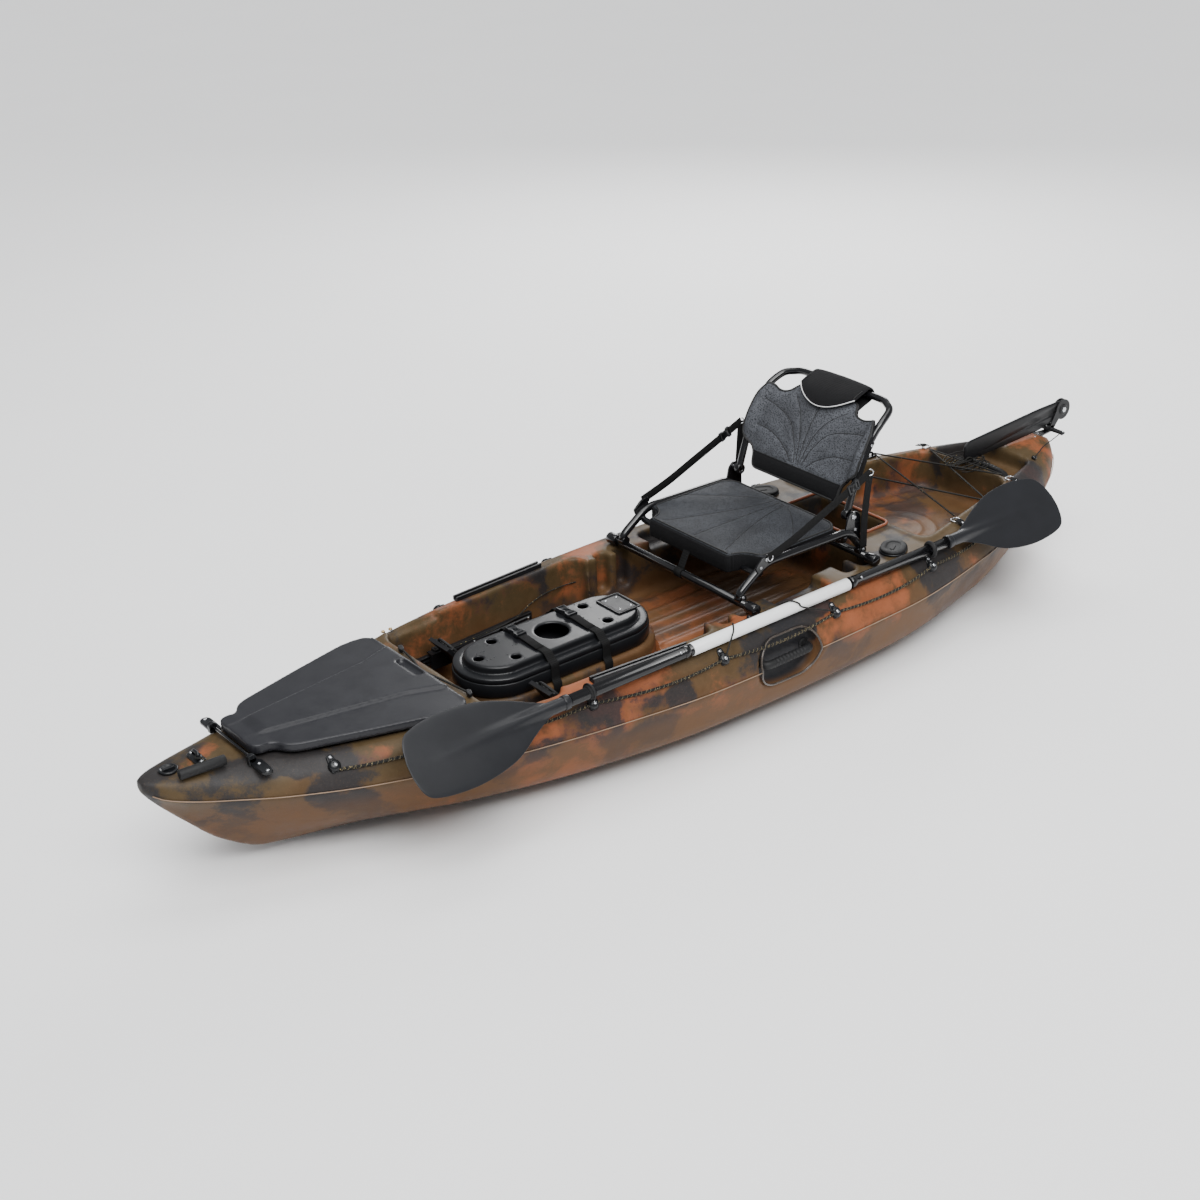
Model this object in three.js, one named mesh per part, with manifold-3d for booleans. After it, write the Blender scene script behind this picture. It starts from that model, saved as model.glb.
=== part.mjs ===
// A sit-on-top fishing kayak, ten feet long, with a framed seat, foot-steered rudder and paddle.
// Millimetres. +X is the bow, +Y is port, +Z is up. z = 0 is the flat of the hull's bottom, x = 0 its middle.
import * as THREE from "three";
import { mergeVertices } from "three/addons/utils/BufferGeometryUtils.js";
import Module from "manifold-3d";

const wasm = await Module();
wasm.setup();

// ---------------------------------------------------------------- driving dimensions
const WALL = 5; // moulded hull wall
const GAP = 0.4; // between pieces that touch
const DECK_CROWN = 6;
const SHOULDER = 66; // width of the sloping shoulder between the seam and the deck

// Hull stations: x, half beam, keel height, half width of the flat bottom, chine half width, chine height,
// seam height and sheer height.
const STATIONS = [
  [-1525, 34, 258, 8, 22, 270, 284, 304],
  [-1488, 78, 194, 14, 50, 226, 262, 306],
  [-1442, 112, 70, 14, 74, 158, 248, 308],
  [-1405, 134, 26, 12, 92, 128, 242, 309],
  [-1200, 233, 18, 20, 182, 96, 226, 306],
  [-900, 330, 12, 60, 284, 76, 212, 302],
  [-500, 392, 4, 110, 350, 64, 204, 300],
  [-150, 398, 0, 130, 358, 60, 202, 299],
  [150, 392, 0, 130, 350, 60, 202, 299],
  [450, 362, 0, 110, 316, 64, 206, 300],
  [750, 313, 5, 78, 258, 76, 214, 302],
  [1050, 237, 16, 36, 172, 104, 228, 307],
  [1250, 166, 36, 18, 98, 136, 244, 312],
  [1350, 122, 92, 14, 62, 172, 256, 315],
  [1440, 82, 184, 12, 40, 226, 270, 318],
  [1500, 46, 254, 8, 24, 268, 284, 320],
  [1525, 18, 288, 4, 9, 294, 300, 321],
];

const FOOTWELL = { front: 735, back: 85, halfFront: 246, halfBack: 284, floor: 98 };
const SEAT_WELL = { front: 90, back: -535, halfFront: 244, halfBack: 200, floor: 150 };
const POCKET = { front: -560, back: -690, half: 135, floor: 170 };
const TANK_WELL = { front: -705, back: -1172, halfFront: 268, halfBack: 157, floor: 190 };
const STERN_SHELF = { front: -1192, back: -1335, halfFront: 150, halfBack: 104, floor: 260 };
const PEDESTAL = { x: 372, length: 580, width: 252, top: 224 };
const POD = { x: 385, length: 572, width: 230, base: 225, rim: 262, top: 295, hole: 43.5 };
const POD_LID = { length: 513 };

const HATCH = { hinge: [1294, 326], front: 1286, back: 787, thickness: 24, seal: 4 };
const SCUPPERS = [[480, -156], [480, 156], [112, -156], [112, 156], [-754, -155], [-754, 155]];
const SCUPPER_BORE = 19;

const SEAT = { frontBar: -45, rearBar: -481, barHeight: 317, half: 236, tube: 11, top: 418 };
const BACK = { pivot: [-450, 434], half: 212, tube: 10, thickness: 22 };
const ROD_HOLDER = { x: -588, y: 258, rake: 24, lean: 4, bore: 19.5, tube: 22, depth: 118 };
const PADDLE = { x: -55, y: 342, z: 316, length: 2200, shaft: 15, white: 540, tilt: 45 };
const RUDDER = { post: -1545, pivot: [-1605, 372], cheek: 32, blade: 445, depth: 76, thickness: 9 };

// ---------------------------------------------------------------- materials
const finish = (color, roughness, metalness = 0) =>
  new THREE.MeshStandardMaterial({ color, roughness, metalness });
const CAMO = finish(0x8a5a38, 0.55);
const BLACK = finish(0x1b1c1e, 0.45);
const CHARCOAL = finish(0x3b3d42, 0.5);
const RUBBER = finish(0x17181a, 0.85);
const WEBBING = finish(0x141416, 0.9);
const MESH_CLOTH = finish(0x3f434a, 0.95);
const TUBE_BLACK = finish(0x111214, 0.3, 0.4);
const WHITE = finish(0xe9eaea, 0.35);
const STEEL = finish(0xb9bcc0, 0.25, 1);
const ROPE = finish(0x2a241c, 0.9);
const BLADE_GREY = finish(0x2b2d33, 0.35);

// ---------------------------------------------------------------- solids and meshes
const kayak = new THREE.Group();
kayak.name = "kayak";

function solidOf(geometry) {
  const bare = geometry.clone();
  bare.deleteAttribute("normal");
  bare.deleteAttribute("uv");
  const merged = mergeVertices(bare, 1e-3);
  const triVerts = new Uint32Array(merged.index.array);
  const build = () =>
    new wasm.Manifold(
      new wasm.Mesh({ numProp: 3, vertProperties: merged.attributes.position.array, triVerts }),
    );
  const made = build();
  if (made.volume() > 0) return made;
  for (let i = 0; i < triVerts.length; i += 3)
    [triVerts[i + 1], triVerts[i + 2]] = [triVerts[i + 2], triVerts[i + 1]];
  return build();
}

function geometryOf(solid) {
  const mesh = solid.getMesh();
  const geometry = new THREE.BufferGeometry();
  geometry.setAttribute("position", new THREE.BufferAttribute(new Float32Array(mesh.vertProperties), 3));
  geometry.setIndex(new THREE.BufferAttribute(new Uint32Array(mesh.triVerts), 1));
  geometry.computeVertexNormals();
  return geometry;
}

const isGeometry = (shape) => shape.isBufferGeometry === true;
const asSolid = (shape) => (isGeometry(shape) ? solidOf(shape) : shape);
const join = (...shapes) => shapes.map(asSolid).reduce((all, next) => all.add(next));
const cut = (base, ...tools) => tools.map(asSolid).reduce((left, tool) => left.subtract(tool), asSolid(base));

function part(name, shape, material) {
  const mesh = new THREE.Mesh(geometryOf(asSolid(shape)), material);
  mesh.name = name;
  kayak.add(mesh);
}

// ---------------------------------------------------------------- outlines
const v2 = (points) => points.map(([x, y]) => new THREE.Vector2(x, y));
const v3 = (points) => points.map(([x, y, z]) => new THREE.Vector3(x, y, z));
const mirrored = (points) => [...points, ...points.slice().reverse().map(([x, y]) => [x, -y])];

function signedArea(points) {
  return points.reduce((sum, [x, y], i) => {
    const [u, v] = points[(i + 1) % points.length];
    return sum + (x * v - u * y) / 2;
  }, 0);
}

// The outline moved outwards by a distance, with mitred corners.
function offset(points, distance) {
  const side = Math.sign(signedArea(points)) * distance;
  return points.map((p, i) => {
    const before = points[(i + points.length - 1) % points.length];
    const after = points[(i + 1) % points.length];
    const normal = (a, b) => {
      const length = Math.hypot(b[0] - a[0], b[1] - a[1]);
      return [(b[1] - a[1]) / length, (a[0] - b[0]) / length];
    };
    const [m, n] = [normal(before, p), normal(p, after)];
    const scale = side / Math.max(0.3, 1 + m[0] * n[0] + m[1] * n[1]);
    return [p[0] + (m[0] + n[0]) * scale, p[1] + (m[1] + n[1]) * scale];
  });
}

// Each corner replaced by an arc-like curve that starts a given distance before it.
function rounded(points, radius, steps = 3) {
  return points.flatMap((p, i) => {
    const before = points[(i + points.length - 1) % points.length];
    const after = points[(i + 1) % points.length];
    const towards = (q) => {
      const length = Math.hypot(q[0] - p[0], q[1] - p[1]);
      const reach = Math.min(radius, length * 0.45) / length;
      return [p[0] + (q[0] - p[0]) * reach, p[1] + (q[1] - p[1]) * reach];
    };
    const [a, b] = [towards(before), towards(after)];
    return Array.from({ length: steps + 1 }, (_, k) => {
      const t = k / steps;
      const [s, u, w] = [(1 - t) ** 2, 2 * t * (1 - t), t * t];
      return [a[0] * s + p[0] * u + b[0] * w, a[1] * s + p[1] * u + b[1] * w];
    });
  });
}

const circle = (x, y, radius, sides) =>
  Array.from({ length: sides }, (_, i) => {
    const angle = ((i + 0.5) / sides) * 2 * Math.PI;
    return [x + radius * Math.cos(angle), y + radius * Math.sin(angle)];
  });

function stadium(x, y, length, width, sides = 8) {
  const radius = width / 2;
  const reach = length / 2 - radius;
  const end = (sign) =>
    Array.from({ length: sides + 1 }, (_, i) => {
      const angle = -Math.PI / 2 + (i / sides) * Math.PI;
      return [x + sign * (reach + radius * Math.cos(angle)), y + sign * radius * Math.sin(angle)];
    });
  return [...end(1), ...end(-1)];
}

// ---------------------------------------------------------------- basic shapes
const AXES = {
  z: new THREE.Matrix4(),
  x: new THREE.Matrix4().makeBasis(...v3([[0, 1, 0], [0, 0, 1], [1, 0, 0]])),
  y: new THREE.Matrix4().makeBasis(...v3([[1, 0, 0], [0, 0, 1], [0, -1, 0]])),
};

// An outline drawn out along an axis from one place to another. Along z the outline is (x, y), along x it is
// (y, z), and along y it is (x, z).
function prism(outline, axis, from, to, holes = []) {
  const shape = new THREE.Shape(v2(outline));
  shape.holes = holes.map((hole) => new THREE.Path(v2(hole)));
  const geometry = new THREE.ExtrudeGeometry(shape, { depth: to - from, bevelEnabled: false });
  geometry.translate(0, 0, axis === "y" ? -to : from);
  return geometry.applyMatrix4(AXES[axis]);
}

const block = (x0, x1, y0, y1, z0, z1) =>
  new THREE.BoxGeometry(x1 - x0, y1 - y0, z1 - z0).translate((x0 + x1) / 2, (y0 + y1) / 2, (z0 + z1) / 2);

// A turned piece on a vertical axis. The profile's points are (radius, height).
function turned(profile, sides, x = 0, y = 0, z = 0) {
  const geometry = new THREE.LatheGeometry(v2(profile), sides);
  return geometry.rotateX(Math.PI / 2).translate(x, y, z);
}

class Route extends THREE.Curve {
  constructor(points) {
    super();
    this.points = points;
  }
  getPoint(t, target = new THREE.Vector3()) {
    const place = THREE.MathUtils.clamp(t, 0, 1) * (this.points.length - 1);
    const i = Math.min(Math.floor(place), this.points.length - 2);
    return target.lerpVectors(this.points[i], this.points[i + 1], place - i);
  }
  getPointAt(t, target) {
    return this.getPoint(t, target);
  }
  getTangentAt(t, target = new THREE.Vector3()) {
    const step = 0.5 / (this.points.length - 1);
    const [a, b] = [this.getPoint(Math.max(0, t - step)), this.getPoint(Math.min(1, t + step))];
    return target.copy(b).sub(a).normalize();
  }
}

// A round bar whose rings stand exactly at the given points.
function bar(points, radius, sides = 8) {
  const section = new THREE.Shape(v2(circle(0, 0, radius, sides)));
  return new THREE.ExtrudeGeometry(section, {
    steps: points.length - 1,
    extrudePath: new Route(v3(points)),
    bevelEnabled: false,
  });
}

const smooth = (points, steps) =>
  new THREE.CatmullRomCurve3(v3(points), false, "centripetal").getSpacedPoints(steps).map((p) => p.toArray());

// A route of straight runs with its inner corners rounded.
function bends(points, radius, steps = 3) {
  const p = v3(points);
  return p
    .flatMap((corner, i) => {
      if (i === 0 || i === p.length - 1) return [corner];
      const side = (q) => {
        const way = q.clone().sub(corner);
        return corner.clone().addScaledVector(way.normalize(), Math.min(radius, q.distanceTo(corner) * 0.48));
      };
      return new THREE.QuadraticBezierCurve3(side(p[i - 1]), corner, side(p[i + 1])).getPoints(steps);
    })
    .map((q) => q.toArray());
}

// A flat strap: a ribbon of given thickness along a route in the y-z plane, drawn out along x.
function ribbon(points, thickness, axis, from, to) {
  const p = v2(points);
  const normals = p.map((_, i) => {
    const way = p[Math.min(i + 1, p.length - 1)].clone().sub(p[Math.max(i - 1, 0)]).normalize();
    return new THREE.Vector2(-way.y, way.x);
  });
  const edge = (half) => p.map((q, i) => q.clone().addScaledVector(normals[i], half).toArray());
  return prism([...edge(thickness / 2), ...edge(-thickness / 2).reverse()], axis, from, to);
}

function sheared(geometry, slope, x0) {
  const at = geometry.attributes.position;
  for (let i = 0; i < at.count; i++) at.setZ(i, at.getZ(i) + slope * (at.getX(i) - x0));
  return geometry;
}

// ---------------------------------------------------------------- hull form
// Column values between stations, on a smooth curve that never overshoots a station.
function formAt(x) {
  const last = STATIONS.length - 1;
  const place = Math.min(Math.max(x, STATIONS[0][0]), STATIONS[last][0]);
  let i = STATIONS.findIndex((row) => row[0] > place) - 1;
  if (i < 0) i = last - 1;
  const slope = (column, k) => {
    if (k === 0 || k === last) return null;
    const [a, b, c] = [STATIONS[k - 1], STATIONS[k], STATIONS[k + 1]];
    const [left, right] = [(b[column] - a[column]) / (b[0] - a[0]), (c[column] - b[column]) / (c[0] - b[0])];
    return left * right <= 0 ? 0 : (2 * left * right) / (left + right);
  };
  const [low, high] = [STATIONS[i], STATIONS[i + 1]];
  const span = high[0] - low[0];
  const t = (place - low[0]) / span;
  const [, beam, keel, flat, chine, chineHeight, seam, sheer] = low.map((from, column) => {
    const to = high[column];
    const straight = (to - from) / span;
    const [a, b] = [slope(column, i) ?? straight, slope(column, i + 1) ?? straight];
    return (
      from * (2 * t ** 3 - 3 * t ** 2 + 1) +
      a * span * (t ** 3 - 2 * t ** 2 + t) +
      to * (3 * t ** 2 - 2 * t ** 3) +
      b * span * (t ** 3 - t ** 2)
    );
  });
  return { beam, keel, flat, chine, chineHeight, seam, sheer };
}

// Half a section from the keel to the middle of the deck, moved inwards by a distance.
function halfSection(x, inset = 0) {
  const { beam, keel, flat, chine, chineHeight, seam, sheer } = formAt(x);
  const taper = Math.min(1, beam / 150);
  const shoulder = SHOULDER * taper;
  const rise = sheer - seam;
  const points = [
    [0, keel + inset],
    [Math.max(1, flat - inset * 0.4), keel + inset],
    [Math.max(2, chine - inset), chineHeight + inset * 0.4],
    [Math.max(3, beam - inset), seam],
    [Math.max(2.5, beam - shoulder * 0.32 - inset), seam + rise * 0.56 - inset * 0.3],
    [Math.max(2, beam - shoulder * 0.76 - inset * 0.6), sheer - rise * 0.08 - inset * 0.9],
    [Math.max(1.5, beam - shoulder - inset * 0.3), sheer - inset],
    [0, sheer + DECK_CROWN * taper - inset],
  ];
  return points;
}

function deckHeight(x, y) {
  const { beam, sheer } = formAt(x);
  const taper = Math.min(1, beam / 150);
  const half = beam - SHOULDER * taper;
  return sheer + DECK_CROWN * taper * Math.max(0, 1 - Math.abs(y) / half);
}

// A point on the sloping shoulder, at a share of the way from the seam up to the deck, standing off by a distance.
function shoulderPoint(x, share, off, side) {
  const [, , , seam, middle, top] = halfSection(x);
  const [a, b, t] = share < 0.56 ? [seam, middle, share / 0.56] : [middle, top, (share - 0.56) / 0.36];
  const [dy, dz] = [b[0] - a[0], b[1] - a[1]];
  const length = Math.hypot(dy, dz);
  return [x, side * (a[0] + dy * t + (dz / length) * off), a[1] + dz * t - (dy / length) * off];
}

// A closed skin through rings of equal length, with flat ends.
function loft(rings) {
  const positions = rings.flat(2);
  const count = rings[0].length;
  const index = [];
  for (let r = 0; r + 1 < rings.length; r++)
    for (let k = 0; k < count; k++) {
      const [a, b] = [r * count + k, r * count + ((k + 1) % count)];
      index.push(a, b, b + count, a, b + count, a + count);
    }
  for (const [ring, flip] of [[0, true], [rings.length - 1, false]]) {
    const centre = positions.length / 3;
    const sum = rings[ring].reduce((all, p) => all.map((value, i) => value + p[i] / count), [0, 0, 0]);
    positions.push(...sum);
    for (let k = 0; k < count; k++) {
      const [a, b] = [ring * count + k, ring * count + ((k + 1) % count)];
      index.push(...(flip ? [centre, b, a] : [centre, a, b]));
    }
  }
  const geometry = new THREE.BufferGeometry();
  geometry.setAttribute("position", new THREE.Float32BufferAttribute(positions, 3));
  geometry.setIndex(index);
  return geometry;
}

function hullForm(inset) {
  const places = [
    -1525, -1506, -1488, -1465, -1442, -1424, -1405, -1350, -1280, -1200, -1080, -960, -820, -660, -500, -330,
    -150, 150, 300, 450, 600, 750, 870, 980, 1080, 1170, 1250, 1300, 1350, 1395, 1440, 1475, 1500, 1525,
  ].filter((x) => Math.abs(x) <= 1525 - inset * 2);
  return loft(
    places.map((x) => {
      const half = halfSection(x, inset);
      const other = half.slice(1, -1).reverse().map(([y, z]) => [-y, z]);
      return [...half, ...other].map(([y, z]) => [x, y, z]);
    }),
  );
}

const trapezium = ({ front, back, halfFront, halfBack, half }) => [
  [front, halfFront ?? half], [front, -(halfFront ?? half)], [back, -(halfBack ?? half)], [back, halfBack ?? half],
];

// Outline of the fore hatch: a narrow neck at the hinge, shoulders, then sides that spread to the footwell.
function hatchOutline(grow) {
  const half = [[HATCH.front, 84], [1234, 84], [1212, 124], [1040, 176], [860, 226], [HATCH.back, 222]];
  const loop = [...half, ...half.slice().reverse().map(([x, y]) => [x, -y])];
  return rounded(offset(loop, grow), 38, 3);
}

const hatchOpening = () =>
  rounded([[1190, 84], [1190, -84], [840, -186], [806, -186], [806, 186], [840, 186]], 24, 2);

function rodHolderAxis(side) {
  const aft = THREE.MathUtils.degToRad(ROD_HOLDER.rake);
  const out = THREE.MathUtils.degToRad(ROD_HOLDER.lean) * side;
  const way = new THREE.Vector3(-Math.sin(aft), Math.sin(out), Math.cos(aft)).normalize();
  const mouth = new THREE.Vector3(ROD_HOLDER.x, side * ROD_HOLDER.y, deckHeight(ROD_HOLDER.x, ROD_HOLDER.y));
  return { way, mouth };
}

function rodHolderBar(side, radius, above, below, sides = 12) {
  const { way, mouth } = rodHolderAxis(side);
  const at = (distance) => mouth.clone().addScaledVector(way, distance).toArray();
  return bar([at(-below), at(above)], radius, sides);
}

// The wells pressed into the deck, grown by the wall on every side for the inner skin.
function wells(grow) {
  const top = 420;
  const well = (size, radius) =>
    solidOf(prism(rounded(offset(trapezium(size), grow), radius, 2), "z", size.floor - grow, top));
  const pedestal = prism(
    stadium(PEDESTAL.x, 0, PEDESTAL.length - 2 * grow, PEDESTAL.width - 2 * grow, 6), "z", 20, PEDESTAL.top - grow,
  );
  const podRecess = prism(circle(POD.x, 0, POD.hole + 6 + grow, 12), "z", 150 - grow, top);
  return join(
    cut(join(well(FOOTWELL, 40), well(SEAT_WELL, 30)), pedestal),
    podRecess,
    well(POCKET, 22),
    well(TANK_WELL, 40),
    well(STERN_SHELF, 24),
  );
}

function sideScoops(grow) {
  const scoop = (side) => {
    const outline = stadium(-80, 206, 206 + 2 * grow, 128 + 2 * grow, 6);
    const inner = 352 - grow;
    return prism(outline, "y", side > 0 ? inner : -460, side > 0 ? 460 : -inner);
  };
  return join(scoop(1), scoop(-1));
}

function hull() {
  const tubes = (grow) =>
    SCUPPERS.map(([x, y]) => solidOf(prism(circle(x, y, SCUPPER_BORE + grow, 10), "z", -20, 400)));
  const rodTubes = (grow) => [1, -1].map((side) => rodHolderBar(side, 24 + grow, 60, ROD_HOLDER.depth + 8 + grow));
  const inner = cut(hullForm(WALL), wells(WALL), sideScoops(WALL), ...tubes(WALL), ...rodTubes(WALL));
  const opening = prism(hatchOpening(), "z", 255, 420);
  return cut(
    hullForm(0),
    inner,
    wells(0),
    sideScoops(0),
    ...tubes(0),
    ...rodTubes(0),
    opening,
  );
}
part("hull", hull(), CAMO);

// ---------------------------------------------------------------- fore hatch
const HATCH_SLOPE = (deckHeight(HATCH.front, 0) - deckHeight(HATCH.back, 0)) / (HATCH.front - HATCH.back);
const hatchBase = deckHeight(HATCH.back, 0) + 1;

function hatchLid() {
  const body = prism(hatchOutline(0), "z", 0, HATCH.thickness);
  const crown = rounded([[1225, 40], [1225, -40], [886, -94], [800, -126], [800, 126], [886, 94]], 14, 1);
  const raised = prism(crown, "z", HATCH.thickness - 1, HATCH.thickness + 7);
  const recess = prism(stadium(0, 0, 96, 24, 4).map(([u, v]) => [811 + v, u]), "z", HATCH.thickness - 8, 60);
  const under = prism(hatchOutline(-30), "z", -1, HATCH.thickness - 13);
  const lid = cut(join(body, raised), recess, under);
  return sheared(geometryOf(lid), HATCH_SLOPE, HATCH.back).translate(0, 0, hatchBase + HATCH.seal + GAP);
}
part("bow_hatch_lid", hatchLid(), CHARCOAL);

const sealRing = prism(hatchOutline(-7), "z", 0, HATCH.seal, [offset(hatchOpening(), 9)]);
part("bow_hatch_gasket", sheared(sealRing, HATCH_SLOPE, HATCH.back).translate(0, 0, hatchBase), RUBBER);

const [hingeX, hingeZ] = HATCH.hinge;
part("hatch_hinge_rod", bar([[hingeX, -96, hingeZ + 3], [hingeX, 96, hingeZ + 3]], 4, 10), STEEL);
for (const [name, side] of [["port", 1], ["starboard", -1]]) {
  const base = deckHeight(1285, 100) + 1;
  const pad = prism(stadium(1285, side * 114, 30, 28, 4).map(([x, y]) => [x, y]), "z", base, base + 5);
  const long = prism(stadium(0, 0, 71, 28, 4).map(([u, v]) => [1285 + v, side * 120 + u]), "z", base, base + 5);
  const ear = block(hingeX - 10, hingeX + 10, side > 0 ? 86 : -98, side > 0 ? 98 : -86, base, hingeZ + 12);
  const bore = bar([[hingeX, side * 70, hingeZ + 3], [hingeX, side * 110, hingeZ + 3]], 4.4, 10);
  part(`hatch_hinge_${name}`, cut(join(pad, long, ear), bore), BLACK);
}

const latchLevel = deckHeight(760, 0) + 5;
const latchRoute = smooth([[746, -140, latchLevel], [760, -70, latchLevel + 4], [776, 0, latchLevel + 9],
  [760, 75, latchLevel + 4], [746, 150, latchLevel]], 14);
part("hatch_latch_cord", bar(latchRoute, 3, 8), RUBBER);

// ---------------------------------------------------------------- bow fittings
const bowDeck = (x, y = 0) => deckHeight(x, y) + 1;
const plugProfile = [[0, 0], [22, 0], [22, 3], [17, 5], [12, 5], [12, 3], [0, 3]];
const plugBar = block(-10, 10, -3, 3, 2.5, 7).translate(1453, 0, bowDeck(1453));
part("bow_drain_plug", join(turned(plugProfile, 16, 1453, 0, bowDeck(1453)), plugBar), BLACK);

const padBase = prism(stadium(0, 0, 62, 30, 4).map(([u, v]) => [1383 + v, u]), "z", bowDeck(1383), bowDeck(1383) + 5);
const padLoop = bar(bends([[1383, -15, bowDeck(1383) + 3], [1383, -15, bowDeck(1383) + 18],
  [1383, 15, bowDeck(1383) + 18], [1383, 15, bowDeck(1383) + 3]], 9), 4, 8);
part("bow_padeye", join(padBase, padLoop), BLACK);

const toggleLevel = bowDeck(1400, 40) + 15;
part("bow_toggle", bar([[1345, 66, toggleLevel], [1454, 58, toggleLevel]], 12, 12), RUBBER);
part("bow_toggle_cord", bar(smooth([[1388, 50.2, toggleLevel + 1], [1386, 32, toggleLevel + 2],
  [1390, 12, toggleLevel - 3], [1390, 2, toggleLevel - 4]], 8), 2.5, 8), RUBBER);

// ---------------------------------------------------------------- console pod
const podOutline = (inset) => stadium(POD.x, 0, POD.length - 2 * inset, POD.width - 2 * inset, 8);
const hollow = { tray: 5, inset: 38 };

function pod() {
  const cavity = prism(podOutline(hollow.tray), "z", POD.base + 4, 400);
  return cut(prism(podOutline(0), "z", POD.base, POD.rim), cavity, prism(circle(POD.x, 0, POD.hole, 16), "z", 100, 400));
}
part("console_pod", pod(), BLACK);

function podLid() {
  const rim = prism(podOutline(2), "z", POD.rim + GAP, POD.rim + 14);
  const dome = prism(podOutline((POD.length - POD_LID.length) / 2), "z", POD.rim + 13, POD.top);
  const under = prism(podOutline(hollow.inset), "z", 200, POD.top - 4);
  const small = [[612, 0], [536, 52], [536, -52], [245, 52], [245, -52]].map(([x, y]) =>
    prism(circle(x, y, 12.5, 8), "z", POD.top - 14, 400));
  return cut(join(rim, dome), under, prism(circle(POD.x, 0, POD.hole, 16), "z", 100, 400), ...small);
}
part("console_lid", podLid(), BLACK);
part("console_plate", prism(rounded([[206, 50], [206, -50], [131, -50], [131, 50]], 8, 2), "z",
  POD.top + GAP, POD.top + 4), BLACK);

for (const [name, x] of [["front", 466], ["rear", 303]]) {
  const level = POD.top + 2.5;
  const rim = POD.width / 2 + 2.5;
  const foot = PEDESTAL.width / 2 + 2;
  const half = [[foot, 186], [foot, 226], [rim, 233], [rim, POD.rim + 15], [rim - 12, POD.rim + 19], [90, level]];
  const route = [...half.map(([y, z]) => [-y, z]), ...half.slice().reverse()];
  const strap = ribbon(route, 2, "x", x - 12.5, x + 12.5);
  const buckle = prism(rounded([[x - 16, -73], [x + 16, -73], [x + 16, -17], [x - 16, -17]], 5, 2), "z",
    level - 0.5, level + 11);
  part(`console_strap_${name}`, join(strap, buckle), WEBBING);
}

// ---------------------------------------------------------------- scupper plugs
SCUPPERS.forEach(([x, y], i) => {
  const floor = x > 0 ? FOOTWELL.floor : TANK_WELL.floor;
  const profile = [[0, -34], [13, -34], [17, -4], [17, 0.6], [25, 0.6], [25, 4], [19, 7], [0, 7]];
  part(`scupper_plug_${i + 1}`, turned(profile, 12, x, y, floor), RUBBER);
});

// ---------------------------------------------------------------- foot rails, pedals and gear tracks
const RAIL = { front: 663, back: 262, frontY: 233, backY: 262, low: 178, high: 206, width: 14 };
const railY = (x) => THREE.MathUtils.mapLinear(x, RAIL.back, RAIL.front, RAIL.backY, RAIL.frontY);
for (const [name, side, pedalX] of [["port", 1, 523], ["starboard", -1, 582]]) {
  const along = (x, y) => [x, side * (railY(x) + y)];
  const outline = [along(RAIL.front, -7), along(RAIL.front, 7), along(RAIL.back, 7), along(RAIL.back, -7)];
  part(`foot_rail_${name}`, prism(outline, "z", RAIL.low, RAIL.high), BLACK);

  const y = railY(pedalX);
  const carriage = join(
    block(pedalX - 30, pedalX + 30, -5, 5, RAIL.low - 6, RAIL.high + 6).translate(0, side * (y - 20), 0),
    block(pedalX - 30, pedalX + 30, -2, 24, RAIL.high + 6, RAIL.high + 10)
      .translate(0, side > 0 ? y - 23 : -(y - 1), 0),
  );
  const face = [[pedalX - 40, RAIL.low - 2], [pedalX - 30, RAIL.low - 2], [pedalX + 38, RAIL.high + 58],
    [pedalX + 28, RAIL.high + 62]];
  const width = [y - 108, y - 24];
  const pedal = prism(face, "y", side > 0 ? width[0] : -width[1], side > 0 ? width[1] : -width[0]);
  const ribs = [0.25, 0.5, 0.75].map((t) => {
    const [rx, rz] = [pedalX - 41 + 68 * t, RAIL.low - 1 + 88 * t];
    return block(rx - 4, rx + 6, side > 0 ? width[0] : -width[1], side > 0 ? width[1] : -width[0], rz - 4, rz + 4);
  });
  part(`foot_pedal_${name}`, join(carriage, pedal, ...ribs), BLACK);

  const trackZ = 301.5;
  const track = (x, dy) => [x, side * (THREE.MathUtils.mapLinear(x, 194, 483, 306, 287) + dy)];
  const trackBar = prism([track(483, -10), track(483, 10), track(194, 10), track(194, -10)], "z", trackZ, trackZ + 12);
  const slot = prism([track(500, -4), track(500, 4), track(177, 4), track(177, -4)], "z", trackZ + 8, trackZ + 20);
  const tee = prism([track(500, -7), track(500, 7), track(177, 7), track(177, -7)], "z", trackZ + 4, trackZ + 8.1);
  part(`gear_track_${name}`, cut(trackBar, slot, tee), TUBE_BLACK);
}

// ---------------------------------------------------------------- seat
for (const [name, x, reach] of [["front", SEAT.frontBar, 282], ["rear", SEAT.rearBar, 282]]) {
  const z = SEAT.barHeight;
  const rod = bar([[x, -reach, z], [x, reach, z]], SEAT.tube, 12);
  const caps = [1, -1].map((side) => bar([[x, side * 263, z], [x, side * 299, z]], 15.5, 12));
  part(`seat_${name}_bar`, join(rod, ...caps), TUBE_BLACK);
}

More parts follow.
